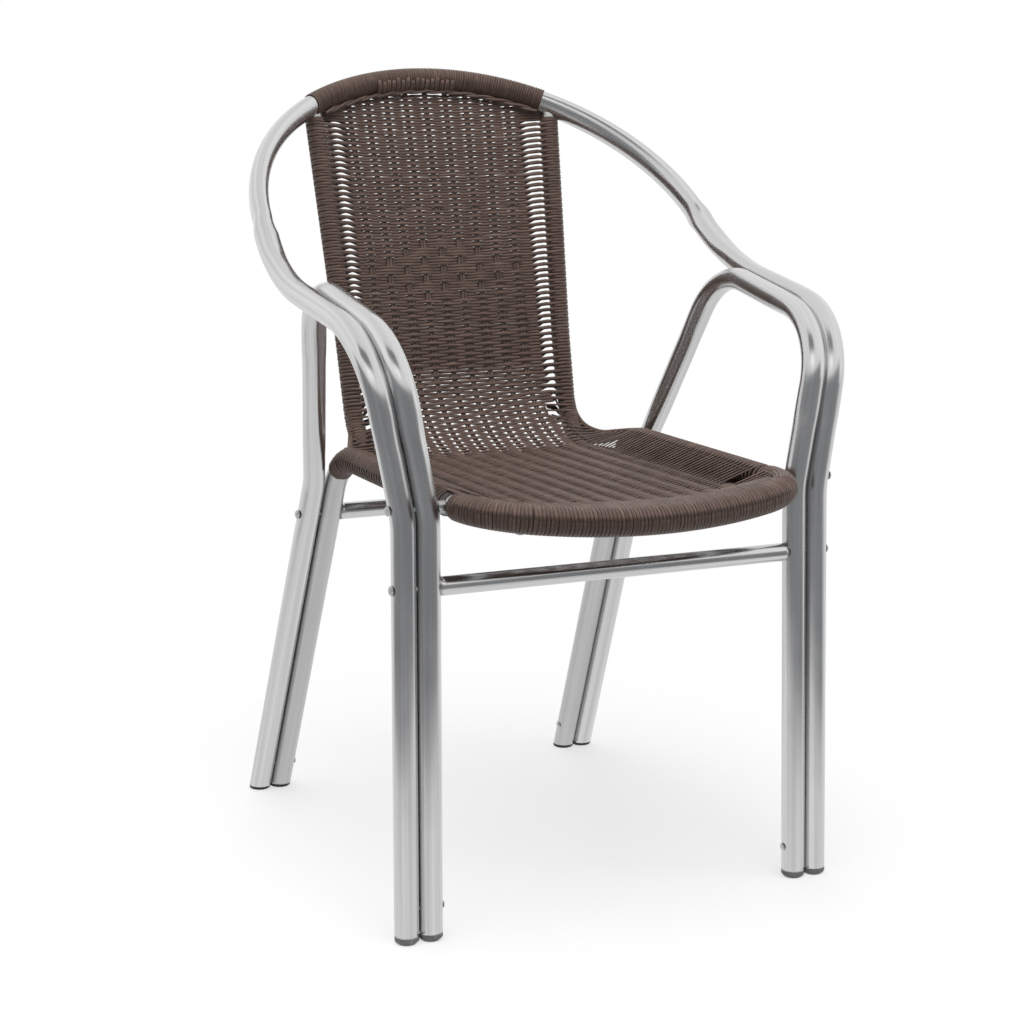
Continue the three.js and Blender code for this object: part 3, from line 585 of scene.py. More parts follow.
def spaced(line, start, end, pitch, outward):
    """Lengths along a line, one pitch apart on the outer side of its bends: step = pitch / (1 + out bend)."""
    grid = np.arange(start, end, 0.5)
    bend = np.interp(grid, line.length, line.amount)
    count = np.concatenate([[0], np.cumsum((1 + outward * bend[:-1]) * np.diff(grid))]) / pitch
    return np.interp(np.arange(0, count[-1]), count, grid)


def coil(shape, line, turns, radius, width, tag, facing, mirror=False, oval=0.0, wobble=0.05,
         stations=COIL_STATIONS):
    """A strand wound round a tube. Turn k lies level at length turns[k] on the side that faces the viewer.

    point = line(s) + radius (cos(a) facing + sin(a) across), a from -pi to pi in each turn. s climbs to the
    next turn only while the strand passes behind.
    """
    turns = np.asarray(turns, float) + rng.normal(0, wobble, len(turns))
    t = np.linspace(0, len(turns), len(turns) * stations + 1)[:-1]
    k = np.floor(t).astype(int)
    share = t - k
    before = turns[k] - turns[np.maximum(k - 1, 0)]
    after = turns[np.minimum(k + 1, len(turns) - 1)] - turns[k]
    climb = FLAT_SHARE / 2
    s = turns[k] - before / 2 * (1 - smooth(share / climb)) + after / 2 * smooth((share - 1 + climb) / climb)
    a = 2 * math.pi * share - math.pi
    direction = line.along(s)
    normal = square_to(facing, direction)
    across = np.cross(normal, direction)
    spoke = np.cos(a)[:, None] * normal + np.sin(a)[:, None] * across
    if oval:
        bend = square_to(line.bend_side(s), direction)
        inward = np.sum(spoke * bend, 1, keepdims=True) * bend
        spoke = inward * (1 - oval) + (spoke - inward) * (1 + OVAL_SPREAD * oval)
    point = line.at(s) + radius * spoke
    if mirror:
        point, spoke = point * [-1, 1, 1], spoke * [-1, 1, 1]
    shape.strand(point, spoke, width, tag)


# Woven surface. s runs down the back from the arch, round the bend and forward over the seat.

_, RAIL_TOP_SETBACK, RAIL_TOP_HEIGHT, _ = BACK_SIDE[0]
_, RAIL_LOW_SETBACK, RAIL_LOW_HEIGHT, _ = BACK_SIDE[2]
BACK_SLOPE = (RAIL_TOP_SETBACK - RAIL_LOW_SETBACK) / (RAIL_TOP_HEIGHT - RAIL_LOW_HEIGHT)
SEAT_LEVEL = 431.0
BEND_RADIUS = 112.0
BEND_TOP = 516.5
TOP_LEVEL = 849.8
FRONT_END = -110.0


def rails_setback(z):
    """The setback of the back rails' plane at a height."""
    return RAIL_LOW_SETBACK + (z - RAIL_LOW_HEIGHT) * BACK_SLOPE


profile = bent_line([
    (0, rails_setback(TOP_LEVEL), TOP_LEVEL, 0),
    (0, rails_setback(SEAT_LEVEL), SEAT_LEVEL, BEND_RADIUS),
    (0, FRONT_END, SEAT_LEVEL, 0),
], spacing=2.0)
BEND_START = profile.where(2, BEND_TOP)
BEND_END = profile.where(2, SEAT_LEVEL + 0.02)

# Half the spread between the two rails' centre lines at some heights
SPREAD_HEIGHTS = [417.0, 550.0, 819.3]
HALF_SPREADS = [136.0, 137.5, 150.5]

# How far the middle of the panel lies behind the rails' plane: deep in the back, shallow in the seat
HOLLOW_PLACES = [0, 40, 200, BEND_START, BEND_END, profile.total - 120, profile.total]
HOLLOWS = [24, 21, 16, 15, 5, 3, 0]
RISE_PAST_RAILS = 0.2


def panel(x, s):
    """A point of the woven surface and its normal towards the sitter, and its direction.

    point = profile(s) - normal(s) hollow(s) (1 - (x / half spread)^2).
    """
    x, s = np.broadcast_arrays(np.asarray(x, float), np.asarray(s, float))
    point = profile.at(s)
    direction = profile.along(s, 1.0)
    normal = np.stack([0 * x, direction[..., 2], -direction[..., 1]], -1)
    half_spread = np.interp(point[..., 2], SPREAD_HEIGHTS, HALF_SPREADS)
    hollow = np.interp(s, HOLLOW_PLACES, HOLLOWS)
    depth = hollow * np.clip(1 - (x / half_spread) ** 2, -RISE_PAST_RAILS, 1)
    point = point - normal * depth[..., None]
    point[..., 0] = x
    return point, normal, direction


# Front edge of the seat: the panel meets the top of the front rail
BOW_SETBACK = -30.0
bow_from = seat_frame.where(1, BOW_SETBACK, SEAT_RAIL, seat_middle)
bow_line = seat_frame.at(np.arange(bow_from, seat_frame.total - bow_from, 2.0))
RAIL_OUT = 12.9
LIFT_RUN, LIFT_END = 70.0, 4.0


def woven(x, s):
    """The panel, lifted near its front edge to the top of the front rail."""
    point, normal, direction = panel(x, s)
    rail_y, rail_z = (np.interp(point[..., 0], bow_line[:, 0], bow_line[:, k]) for k in (1, 2))
    lift = smooth(1 - (point[..., 1] - rail_y - LIFT_END) / LIFT_RUN) * (s > BEND_END)
    point[..., 2] = point[..., 2] * (1 - lift) + (rail_z + RAIL_OUT) * lift
    return point, normal, direction


# In front of this line the seat is covered by the ends of the front rail's winding
LIMIT_X = [-170, -158, -143, -137, -130, -105, -80, -30, 0, 70, 94, 120, 135, 150, 165]
LIMIT_SETBACKS = [44, 62, 64, 45, 22, 7, -10, -37, -45, -47, -34, -18, -16, -20, -28]


def front_limit(x):
    """The setback of that line at a side distance."""
    return np.interp(x, LIMIT_X, LIMIT_SETBACKS)


# Warps: pairs of strands that run down the panel
WARP_WIDTH = 3.4
WARP_SPREAD = 3.4
WARP_PLACES = [0, 60, 200, BEND_START, BEND_END]
WARP_PITCHES = [25.4, 25.2, 23.05, 23.05, 23.5]
BACK_WARPS, SEAT_WARPS = 4, 5
WARP_STARTS = {"back": 4.0, "seat": BEND_END + 6.0}
WARP_STATION = 3.0
WARP_UNDER_ARCH, WARP_OVERLAP = 3.0, 4.0


def warp_place(j, s):
    """The side distance of warp j at a length down the panel."""
    return j * np.interp(s, WARP_PLACES, WARP_PITCHES)


# Weft rows: their lengths down the panel. The distance from row to row changes down the back.
TOP_ROW_HEIGHT, LAST_ROW_SETBACK = 843.0, -44.0
PITCH_PLACES = [0, 120, 180, 250, BEND_START - 60, BEND_START + 20, BEND_END - 10, BEND_END + 20]
PITCHES = [3.3, 3.36, 3.5, 3.44, 3.5, 4.0, 4.1, 3.62]
rows = [profile.where(2, TOP_ROW_HEIGHT)]
while rows[-1] < profile.where(1, LAST_ROW_SETBACK, BEND_END):
    rows.append(rows[-1] + float(np.interp(rows[-1], PITCH_PLACES, PITCHES)))
rows = np.array(rows)

# The ornament: a lozenge of groups of three rows that pass the warps together
ORNAMENT_HEIGHT = 632.0
ORNAMENT_GROUPS = 3
GROUP_ROWS = 3
ornament_middle = int(np.argmin(np.abs(profile.at(rows)[:, 2] - ORNAMENT_HEIGHT)))


def lies_over(i, j):
    """Whether weft i passes in front of warp j."""
    group = (i - ornament_middle + GROUP_ROWS // 2) // GROUP_ROWS
    if abs(group) <= ORNAMENT_GROUPS and abs(j) <= ORNAMENT_GROUPS + 1 - abs(group):
        return (j + group) % 2 == 1
    return (i + j) % 2 == 0


# What holds the row ends on the left: the back rail, a thin wound rim round the bend, then the side rail


def rounded(points, times=4):
    """Corners cut again and again: each run keeps its points at a quarter and at three quarters."""
    points = np.asarray(points, float)
    for _ in range(times):
        early = points[:-1] * 0.75 + points[1:] * 0.25
        late = points[:-1] * 0.25 + points[1:] * 0.75
        points = np.concatenate([points[:1], np.stack([early, late], 1).reshape(-1, 3), points[-1:]])
    return points


RIM_POINTS = [
    (-141.5, 401.0, 472), (-143.0, 396.5, 456), (-148.5, 383.0, 442), (-159, 358, 436.5), (-169, 339, 440.5),
    (-178.5, 318, 444.0), (-179.0, 296, 447.0),
]
rim = Line(rounded(RIM_POINTS))

RIM_FROM_HEIGHT, RIM_TO_SETBACK = 453.0, 319.0
BACK_RADIUS, RIM_RADIUS, SIDE_RADIUS = 10.4, 1.9, 13.4
rail_bend_start = back_rail.where(2, BEND_TOP)
rail_bend_end = back_rail.where(2, RIM_FROM_HEIGHT)
rim_start = rim.where(2, RIM_FROM_HEIGHT)
rim_end = rim.where(1, RIM_TO_SETBACK)
side_start = seat_frame.where(1, RIM_TO_SETBACK, SEAT_RAIL, seat_middle)
side_bend_end = seat_frame.where(1, float(profile.at(BEND_END)[1]), side_start - 1, seat_middle)
EDGE_LENGTHS = np.cumsum([rail_bend_end - rail_bend_start, rim_end - rim_start, side_bend_end - side_start])
LAST_SETBACK = -22.0
ROWS_PAST_LAST = 8.0
RAIL_TOP_ROW = 803.0


def holder(s):
    """The left edge's line, length along it and wound radius, for a row at a length down the panel."""
    place = profile.at(s)
    if s <= BEND_START:
        return back_rail, back_rail.where(2, min(place[2], RAIL_TOP_ROW)), BACK_RADIUS
    if s < BEND_END:
        along = (s - BEND_START) / (BEND_END - BEND_START) * EDGE_LENGTHS[2]
        if along < EDGE_LENGTHS[0]:
            return back_rail, rail_bend_start + along, BACK_RADIUS
        if along < EDGE_LENGTHS[1]:
            return rim, rim_start + along - EDGE_LENGTHS[0], RIM_RADIUS
        return seat_frame, side_start + along - EDGE_LENGTHS[1], SIDE_RADIUS
    setback = max(float(place[1]), LAST_SETBACK - ROWS_PAST_LAST)
    return seat_frame, seat_frame.where(1, setback, side_bend_end - 2.0, seat_middle), SIDE_RADIUS


# Reach of the rows: the woven part's half width, and where rows end without a rail
EDGE_PLACES, EDGES = [0, BEND_START, BEND_END], [110.5, 110.5, 124]
LEFT_BACK_EDGE_IN = 3.5
ARCH_UNDER = 10.0
WIDEST_ROW, ROW_SEARCH = 148.0, 150.0
LEFT_CORNER_SETBACK = 62.0
LIMIT_OVERLAP = 6.0
FRONT_ROWS_SETBACK = LAST_SETBACK + 4.0
FRONT_ROWS_LEFT, FRONT_ROWS_MIDDLE, FRONT_ROWS_RIGHT = -143.0, 70.0, 136.0
HOLE_SETBACKS = (7.0, 23.0)
HOLE_ROWS_LONGER = 14.0
ARCH_HALF_LENGTH = 260
arch_points = hoop.at(np.arange(hoop.total / 2 - ARCH_HALF_LENGTH, hoop.total / 2 + ARCH_HALF_LENGTH, 1.0))


def limit_crossing(first_x, last_x, setback):
    """Where between two side distances the front limit lies just in front of a setback."""
    x = np.arange(first_x, last_x, 0.5)
    return float(x[np.argmin(np.abs(front_limit(x) + LIMIT_OVERLAP - setback))])


def row_reach(s):
    """How far a row runs to the left and to the right, and whether each end is held by a rail."""
    _, setback, z = profile.at(s)
    edge = float(np.interp(s, EDGE_PLACES, EDGES))
    if z > RAIL_TOP_ROW:
        x = np.arange(0, ROW_SEARCH, 0.5)
        under_arch = np.interp(x, arch_points[:, 0], arch_points[:, 2]) - ARCH_UNDER
        too_far = np.nonzero(under_arch < z)[0]
        stop = float(x[too_far[0]]) if len(too_far) else WIDEST_ROW
        return -stop, stop, False, False
    if s > BEND_END and setback < LEFT_CORNER_SETBACK:
        left = limit_crossing(FRONT_ROWS_LEFT, FRONT_ROWS_MIDDLE, setback)
        if setback < FRONT_ROWS_SETBACK:
            return left, limit_crossing(FRONT_ROWS_MIDDLE, FRONT_ROWS_RIGHT, setback), False, False
        if HOLE_SETBACKS[0] < setback < HOLE_SETBACKS[1]:
            return left, edge + HOLE_ROWS_LONGER, False, False
        return left, edge, False, True
    return -edge + LEFT_BACK_EDGE_IN * (s < BEND_START), edge, True, True


# Row ends. In the thin rim front rows end above its middle and rear rows below it: (rear, front)
RIM_GOALS, RIM_SAGS = (-2.5, 0.6), (-4.0, -1.0)
RUN_POINTS, ARC_POINTS = 8, 9
HALF_ROUND, FRONT_ROUND = 0.98 * math.pi, 1.4 * math.pi
REAR_RISE = 4.8
NEAREST_RAIL = 0.98
EYE_HEIGHT, EYE_DISTANCE = 807.0, 2400.0
HIDE_WIDTH = 3.4
LEFT_HIDE, RIGHT_HIDE, HIDE_FADE = (0.3, 0.36), (0.4, 0.72), 0.2


def tail(end, end_normal, s, side, front):
    """A row's end: straight to its rail, touching it in front or behind, and round to the rail's outer side.

    Behind the back rails a row lies higher, so that it is hidden by the row in front. Round the bend the rows
    end inside the thin rim.
    """
    line, at, radius = holder(s)
    rail, way = line.at(at) * [-side, 1, 1], line.along(at) * [side, 1, 1] * -side
    if line is rim:
        goal = rail + np.array([0, 0, RIM_GOALS[front]])
        share = np.linspace(0, 1, RUN_POINTS + 1)[1:][:, None]
        sag = np.array([0, 0, RIM_SAGS[front]]) * np.sin(math.pi * share)
        return end * (1 - share) + goal * share + sag, np.repeat(end_normal[None], RUN_POINTS, 0)
    to_edge = end - rail
    to_edge = to_edge - (to_edge @ way) * way
    first = unit(to_edge)
    second = square_to(square_to(end_normal, way), first)
    turn = 1.0 if front else -1.0
    touch = math.acos(min(NEAREST_RAIL, radius / np.linalg.norm(to_edge)))
    angle = np.linspace(touch, FRONT_ROUND if front and line is back_rail else HALF_ROUND, ARC_POINTS)
    spoke = np.cos(angle)[:, None] * first + turn * np.sin(angle)[:, None] * second
    share = np.linspace(0, 1, RUN_POINTS + 2)[1:-1][:, None]
    rise, hide = 0.0, 0.0
    if line is back_rail and not front:
        rise = REAR_RISE - 2 * radius * (EYE_HEIGHT - rail[2]) / EYE_DISTANCE
        begun, crossed = LEFT_HIDE if side < 0 else RIGHT_HIDE
        hide = HIDE_WIDTH * smooth(share / begun) * (1 - smooth((share - crossed) / HIDE_FADE))
    upward = way * np.sign(way[2] + 1e-9)
    arc = rail + radius * spoke + upward * rise * np.linspace(1, 0, ARC_POINTS)[:, None]
    run = end * (1 - share) + arc[0] * share + upward * hide
    run_normal = unit(end_normal * (1 - share) + turn * spoke[0] * share)
    return np.concatenate([run, arc]), np.concatenate([run_normal, spoke * turn])


def edge_pitch(s):
    """The distance from row to row along the edge that holds them."""
    pitch = float(np.interp(s, PITCH_PLACES, PITCHES))
    return pitch * EDGE_LENGTHS[2] / (BEND_END - BEND_START) if BEND_START < s < BEND_END else pitch


# Down the panel: the height and length of the slots beside the warps, and how full a row is between warps
SLOT_PLACES = [0, 60, 130, 200, BEND_START - 60, BEND_START, BEND_START + 50, BEND_END, BEND_END + 30]
SLOT_HEIGHTS = [1.1, 0.85, 0.5, 0.25, 0.1, 0.15, 0.65, 0.7, 0.3]
SLOT_LENGTHS = [2.6, 2.4, 2.2, 2.0, 1.8, 2.0, 2.4, 2.6, 3.0]
ROW_FULL = [1.02, 1.03, 1.04, 1.04, 1.04, 1.06, 1.06, 0.98, 0.78]
SLOT_RANGE = (0.6, 1.3)
SLOT_DISTANCE = 5.0
SLOT_SHIFT = 0.125

# A row's wave round the warps, its points beside each warp, and its small irregularities
WEFT_DEPTH = 1.65
WEFT_NEAR, WEFT_FADE = 3.4, 3.2
WEFT_STATIONS = np.array([-11, -8, -6, -5, -3.4, -1.5, 1.5, 3.4, 5, 6, 8, 11])
WARP_WANDER, ROW_WANDER = 0.25, 0.06
BULGE = 0.2

# Row ends: free widths, and how wide the rear rows' ends become under the seat's edges, where they are
# painted near-black as painted shade
TAIL_WIDTH, SEAT_TAIL_WIDTH = 4.1, 2.5
FREE_UNTIL, FULL_FROM = 5, 10
EDGE_FULL = 0.99
SHADOW_FROM = BEND_START + 50
SHADOW_START_WIDTH, SHADOW_PITCHES = 4.2, 1.95
SHADOW_WIDE_AT = 2


def near_warps(x, places, values):
    """The sum over the warps of value times a bump: 1 near the warp, then exp(-((d - near) / fade)^2)."""
    d = np.maximum(np.abs(x[:, None] - places[None]) - WEFT_NEAR, 0) / WEFT_FADE
    return np.exp(-d ** 2) @ values


def beside_warps(x, places, values, length):
    """The sum over the warps of value times exp(-((d - 5) / length)^2): full just beside a warp."""
    d = np.abs(x[:, None] - places[None]) - SLOT_DISTANCE
    return np.exp(-(d / length) ** 2) @ values


def sides_of(i, warps):
    """1 for each warp that row i passes in front of, and -1 for each other."""
    return np.array([1.0 if lies_over(i, j) else -1.0 for j in warps])


def lay_weft(shape, shadow_shape, i):
    """Weft i, from the outer face of the left rail to that of the right.

    Under the seat's edges the rear rows' ends are strands of their own, in cane painted near-black as painted
    shade.
    """
    s = rows[i]
    front = i % 2 == 0
    left, right, left_held, right_held = row_reach(s)
    reach = SEAT_WARPS if s > (BEND_START + BEND_END) / 2 else BACK_WARPS
    j = np.arange(-reach, reach + 1)
    places = warp_place(j, s) + rng.normal(0, WARP_WANDER, len(j))
    over, above, below = sides_of(i, j), sides_of(i - 1, j), sides_of(i + 1, j)
    close = (places[:, None] + WEFT_STATIONS[None]).ravel()
    x = np.unique(np.round(np.concatenate([close, [left, right]]), 2))
    x = x[(x >= left) & (x <= right)]
    if len(x) < 4:
        return
    height = near_warps(x, places, over)
    slot = np.interp(s, SLOT_PLACES, SLOT_HEIGHTS) * rng.uniform(*SLOT_RANGE, len(j))
    length = float(np.interp(s, SLOT_PLACES, SLOT_LENGTHS))
    upper = beside_warps(x, places, slot * (over != above), length)
    lower = beside_warps(x, places, slot * (over != below), length)
    pitch = rows[min(i + 1, len(rows) - 1)] - rows[min(i, len(rows) - 2)]
    shift = (upper - lower) * SLOT_SHIFT + rng.normal(0, ROW_WANDER)
    point, normal, direction = woven(x, s + 0 * x)
    point = point + normal * (WEFT_DEPTH * height)[:, None] + direction * shift[:, None]
    bulge = BULGE * near_warps(x, places, np.maximum(over, 0))
    width = pitch * (np.interp(s, SLOT_PLACES, ROW_FULL) + bulge) - (upper + lower) / 2
    tag = ROW_TAG_STEP * i
    for side, held in ((-1, left_held), (1, right_held)):
        if not held:
            continue
        end, end_normal = (point[0], normal[0]) if side < 0 else (point[-1], normal[-1])
        more, more_normal = tail(end, end_normal, s, side, front)
        full = edge_pitch(s) * EDGE_FULL
        # Rear rows' ends under the seat's edges: real strands, painted near-black as painted shade
        if not front and s > SHADOW_FROM:
            inner, outer = slice(0, RUN_POINTS + 1), slice(RUN_POINTS, None)
            wide = [SHADOW_START_WIDTH, SHADOW_PITCHES * pitch, SHADOW_PITCHES * edge_pitch(s)]
            spread = np.interp(np.arange(len(more[inner])), [0, SHADOW_WIDE_AT, RUN_POINTS], wide)
            shadow_shape.strand(more[inner], more_normal[inner], spread, tag)
            if len(more) > RUN_POINTS + 1:
                shape.strand(more[outer], more_normal[outer], full, tag)
            continue
        free = TAIL_WIDTH if s < SHADOW_FROM else SEAT_TAIL_WIDTH
        more_width = np.interp(np.arange(len(more)), [FREE_UNTIL, FULL_FROM], [free, full])
        if side < 0:
            point = np.concatenate([more[::-1], point])
            normal = np.concatenate([more_normal[::-1], normal])
            width = np.concatenate([more_width[::-1], width])
        else:
            point = np.concatenate([point, more])
            normal = np.concatenate([normal, more_normal])
            width = np.concatenate([width, more_width])
    shape.strand(point, normal, width, tag)


# Each piece of wefts: its name, the length down the panel at which it ends and the node that it shows
WEFT_PIECES = [
    ("upper_back_wefts", BEND_START / 2, ["back_weave"]),
    ("lower_back_wefts", SHADOW_FROM, []),
    ("rear_seat_wefts", (SHADOW_FROM + profile.total) / 2, ["seat_weave"]),
    ("front_seat_wefts", profile.total, []),
]
shadow_shape = Shape()
first = 0
for name, last_length, replaced in WEFT_PIECES:
    shape = Shape()
    last = int(np.searchsorted(rows, last_length, side="right"))
    for i in range(first, last):
        lay_weft(shape, shadow_shape, i)
    shape.mesh(name, cane, "brown_cane", replaced)
    first = last
# These strands are painted near-black: painted shade under the seat's edges
shadow_shape.mesh("seat_wefts_under_the_edges", shade_painted_cane, "brown_cane")

warp_shape = Shape()
for j in range(-SEAT_WARPS, SEAT_WARPS + 1):
    for half in (-1, 1):
        start = WARP_STARTS["back" if abs(j) <= BACK_WARPS else "seat"]
        s = np.arange(start, profile.total - 2, WARP_STATION)
        x = warp_place(j, s) + half * WARP_SPREAD / 2
        arch_z = np.interp(x, arch_points[:, 0], arch_points[:, 2])
        point, normal, _ = woven(x, s)
        on_back_or_seat = (s < BEND_END) | (point[:, 1] > front_limit(x) - WARP_OVERLAP)
        kept = (arch_z - point[:, 2] > WARP_UNDER_ARCH) & on_back_or_seat
        tag = WARP_TAG_STEP * j + HALF_WARP_TAG * half + TAGS["warps"]
        warp_shape.strand(point[kept], normal[kept], WARP_WIDTH, tag)
warp_shape.mesh("warps", cane, "brown_cane")


# Front rail's winding, whose turns go on over the seat's front edge

FRONT_PITCH = 3.95
FRONT_RADIUS, FRONT_FULL, FRONT_WOBBLE = 13.45, 0.98, 0.12
FRONT_FACING = (0, -0.55, 0.83)
FRONT_LEFT_SETBACK, FRONT_RIGHT_X = 0.0, 166.0
COVER_START, COVER_END = -177.5, 152.0
COVER_RADIUS, COVER_ANGLES = 14.05, np.radians([75, 55, 35, 15, 0])[:, None]
COVER_LIFT, COVER_SETTLED_LIFT, COVER_SETTLE = 1.2, 1.5, 22.0
COVER_END_DIPS = np.array([[0, 4.0, -1.6], [0, 8.0, -5.0]])
COVER_WIDTH, COVER_END_WIDTH = 3.9, 3.0
COVER_WANDER, COVER_STATION = 1.5, 5.0

front_left = seat_frame.where(1, FRONT_LEFT_SETBACK, SEAT_RAIL)
front_right = seat_frame.where(0, FRONT_RIGHT_X, front_left)
front_turns = spaced(seat_frame, front_left, front_right, FRONT_PITCH, FRONT_RADIUS)


def lay_cover(shape, s, tag):
    """One turn's end: round the front of the rail, back over the seat and down into the weave."""
    centre, way = seat_frame.at(s), seat_frame.along(s)
    outward = unit(np.array([way[1], -way[0], 0.0]))
    upright = np.array([0, 0, 1.0])
    arc = centre + COVER_RADIUS * (np.sin(COVER_ANGLES) * outward + np.cos(COVER_ANGLES) * upright)
    last = float(front_limit(centre[0])) + rng.normal(0, COVER_WANDER)
    y = np.linspace(centre[1] + COVER_STATION, last, max(4, int((last - centre[1]) / COVER_STATION)))
    point, normal, _ = woven(centre[0] + 0 * y, profile.where(1, 0.0, BEND_END) - y)
    point[:, 2] += COVER_LIFT + COVER_SETTLED_LIFT * np.clip((y - centre[1]) / COVER_SETTLE, 0, 1)
    path = np.concatenate([arc, point, point[-1] + COVER_END_DIPS])
    facing = np.concatenate([arc - centre, normal, normal[-1:], normal[-1:]])
    count = len(path)
    width = np.interp(np.arange(count), [count - 3, count - 1], [COVER_WIDTH, COVER_END_WIDTH])
    shape.strand(path, facing, width, tag)


# Strands laid lengthwise over the corners: first and last angle from upright, and number
LEFT_CORNER = {"first": 4, "last": -62, "number": 6}
RIGHT_CORNER = {"first": 58, "last": -118, "number": 13}
LEFT_CORNER_START, LEFT_CORNER_END, RIGHT_CORNER_END = 3.0, 27.0, 14.0
CORNER_SEARCH = 5.0
RIGHT_CORNER_X = 163.0
CORNER_STATIONS = 16
CORNER_WIDTH, CORNER_WANDER = 3.8, 0.6
CORNER_RADII = np.interp(np.arange(CORNER_STATIONS), [0, 1, 14, 15], [13.4, 14.1, 14.1, 12.6])[:, None]


def corner_strands(shape, from_s, to_s, first, last, number, tag):
    """Strands laid lengthwise over a corner of the rail: point = line(s) + r (cos(a) up - sin(a) inwards).

    Each keeps its own angle a, starts under the last turn of the winding and ends between the turns beyond.
    """
    for k, angle in enumerate(np.radians(np.linspace(first, last, number))):
        s = np.linspace(from_s, to_s + rng.normal(0, CORNER_WANDER), CORNER_STATIONS)
        way = seat_frame.along(s)
        up = square_to(np.array([0, 0, 1.0]), way)
        inwards = np.cross(way, up) * math.copysign(1.0, to_s - from_s)
        spoke = math.cos(angle) * up - math.sin(angle) * inwards
        shape.strand(seat_frame.at(s) + CORNER_RADII * spoke, spoke, CORNER_WIDTH, tag + STRAND_TAG_STEP * k)


shape = Shape()
tag = TAGS["front rail"]
width = FRONT_PITCH * FRONT_FULL
coil(shape, seat_frame, front_turns, FRONT_RADIUS, width, tag, FRONT_FACING, wobble=FRONT_WOBBLE)
for k, s in enumerate(front_turns):
    if COVER_START < seat_frame.at(s)[0] < COVER_END:
        lay_cover(shape, s, tag + STRAND_TAG_STEP * k)
left_end = seat_frame.where(1, LEFT_CORNER_END, SEAT_RAIL, front_left + CORNER_SEARCH)
right_start = seat_frame.where(0, RIGHT_CORNER_X, front_left)
right_end = seat_frame.total - seat_frame.where(1, RIGHT_CORNER_END, SEAT_RAIL, front_left + CORNER_SEARCH)
corner_strands(shape, front_left + LEFT_CORNER_START, left_end, **LEFT_CORNER, tag=TAGS["left corner"])
corner_strands(shape, right_start, right_end, **RIGHT_CORNER, tag=TAGS["right corner"])
shape.mesh("front_rail_winding", cane, "brown_cane", ["front_rail_wrap"])


# Arch winding, the twisted pair under it and the ties of the warps

ARCH_PITCH = 3.05
ARCH_RADIUS, ARCH_WOBBLE = 13.45, 0.08
ARCH_FACING = (0, -0.75, 0.66)
ARCH_ENDS, PAIR_ENDS, TIE_ENDS = (-154.0, 141.0), (-142.0, 136.0), (-66.0, 34.0)

# The middle of the arch's curve, seen from its highest place, and the ways down the panel and to the sitter
ARCH_TOP, ARCH_BEND_RADIUS, ARCH_RISE = np.array([0, 521.6, 849.8]), 265.7, np.array([0, 0.785, 0.62])
ARCH_CENTRE = ARCH_TOP - ARCH_BEND_RADIUS * ARCH_RISE
ARCH_DOWN = unit([0, -0.22, -0.975])
TO_SITTER = np.array([0, -0.975, 0.22])
PAIR_INWARDS, PAIR_TO_SITTER, PAIR_RADIUS, PAIR_TWIST, PAIR_WIDTH = 15.6, 2.2, 1.5, 48.0, 3.5
PAIR_STATION, PAIR_DOWN_SHARE = 2.0, 0.55
TIE_PITCH = 6.6
TIE_START_ANGLE, TIE_END_ANGLES = 115, (-6, 12)
TIE_RADIUS, TIE_LIFT, TIE_LEAN = 14.0, 0.9, 1.5
TIE_STATIONS = 9
TIE_WIDTHS = np.interp(np.arange(TIE_STATIONS), [0, 2, 6, 8], [4.6, 6.1, 6.1, 4.4])
TIE_RADII = (TIE_RADIUS + TIE_LIFT * np.sin(np.linspace(0, math.pi, TIE_STATIONS)))[:, None]
TIE_LEANS = np.linspace(-TIE_LEAN, TIE_LEAN, TIE_STATIONS)[:, None]


def on_arch(ends):
    """The lengths along the hoop at which the arch crosses two side distances."""
    return tuple(hoop.where(0, x, HOOP_ARCH) for x in ends)


def twisted_pair(shape):
    """Two strands under the arch, half a turn apart: core + r (cos(a) inner + sin(a) to the sitter)."""
    s = np.arange(*on_arch(PAIR_ENDS), PAIR_STATION)
    edge = hoop.at(s)
    inner = unit(unit(ARCH_CENTRE - edge) * (1 - PAIR_DOWN_SHARE) + ARCH_DOWN * PAIR_DOWN_SHARE)
    core = edge + PAIR_INWARDS * inner + PAIR_TO_SITTER * TO_SITTER
    for part in (0, 1):
        a = 2 * math.pi * (s / PAIR_TWIST + part / 2)
        spoke = np.cos(a)[:, None] * inner + np.sin(a)[:, None] * TO_SITTER
        normal = TO_SITTER + 0 * core
        shape.strand(core + PAIR_RADIUS * spoke, normal, PAIR_WIDTH, TAGS["twisted pair"] + part)


def lay_tie(shape, s, tag):
    """A short strand over the front of the arch: point = arch(s) + r (sin(a) down + cos(a) to the sitter)."""
    centre, way = hoop.at(s), hoop.along(s)
    side_on = square_to(TO_SITTER, way)
    down = unit(ARCH_DOWN - (ARCH_DOWN @ way) * way - (ARCH_DOWN @ side_on) * side_on)
    angle = np.radians(np.linspace(TIE_START_ANGLE, rng.uniform(*TIE_END_ANGLES), TIE_STATIONS))[:, None]
    spoke = np.sin(angle) * down + np.cos(angle) * side_on
    shape.strand(centre + TIE_RADII * spoke + way * TIE_LEANS, spoke, TIE_WIDTHS, tag)


shape = Shape()
arch_left, arch_right = on_arch(ARCH_ENDS)
arch_turns = np.arange(arch_left, arch_right, ARCH_PITCH)
coil(shape, hoop, arch_turns, ARCH_RADIUS, ARCH_PITCH, TAGS["arch"], ARCH_FACING, oval=ARCH_PRESS,
     wobble=ARCH_WOBBLE)
twisted_pair(shape)
for k, s in enumerate(np.arange(*on_arch(TIE_ENDS), TIE_PITCH)):
    lay_tie(shape, s, TAGS["ties"] + k)
shape.mesh("arch_winding", cane, "brown_cane", ["top_rail_wrap"])


# Windings of the back rails and side rails, one turn between each two held rows

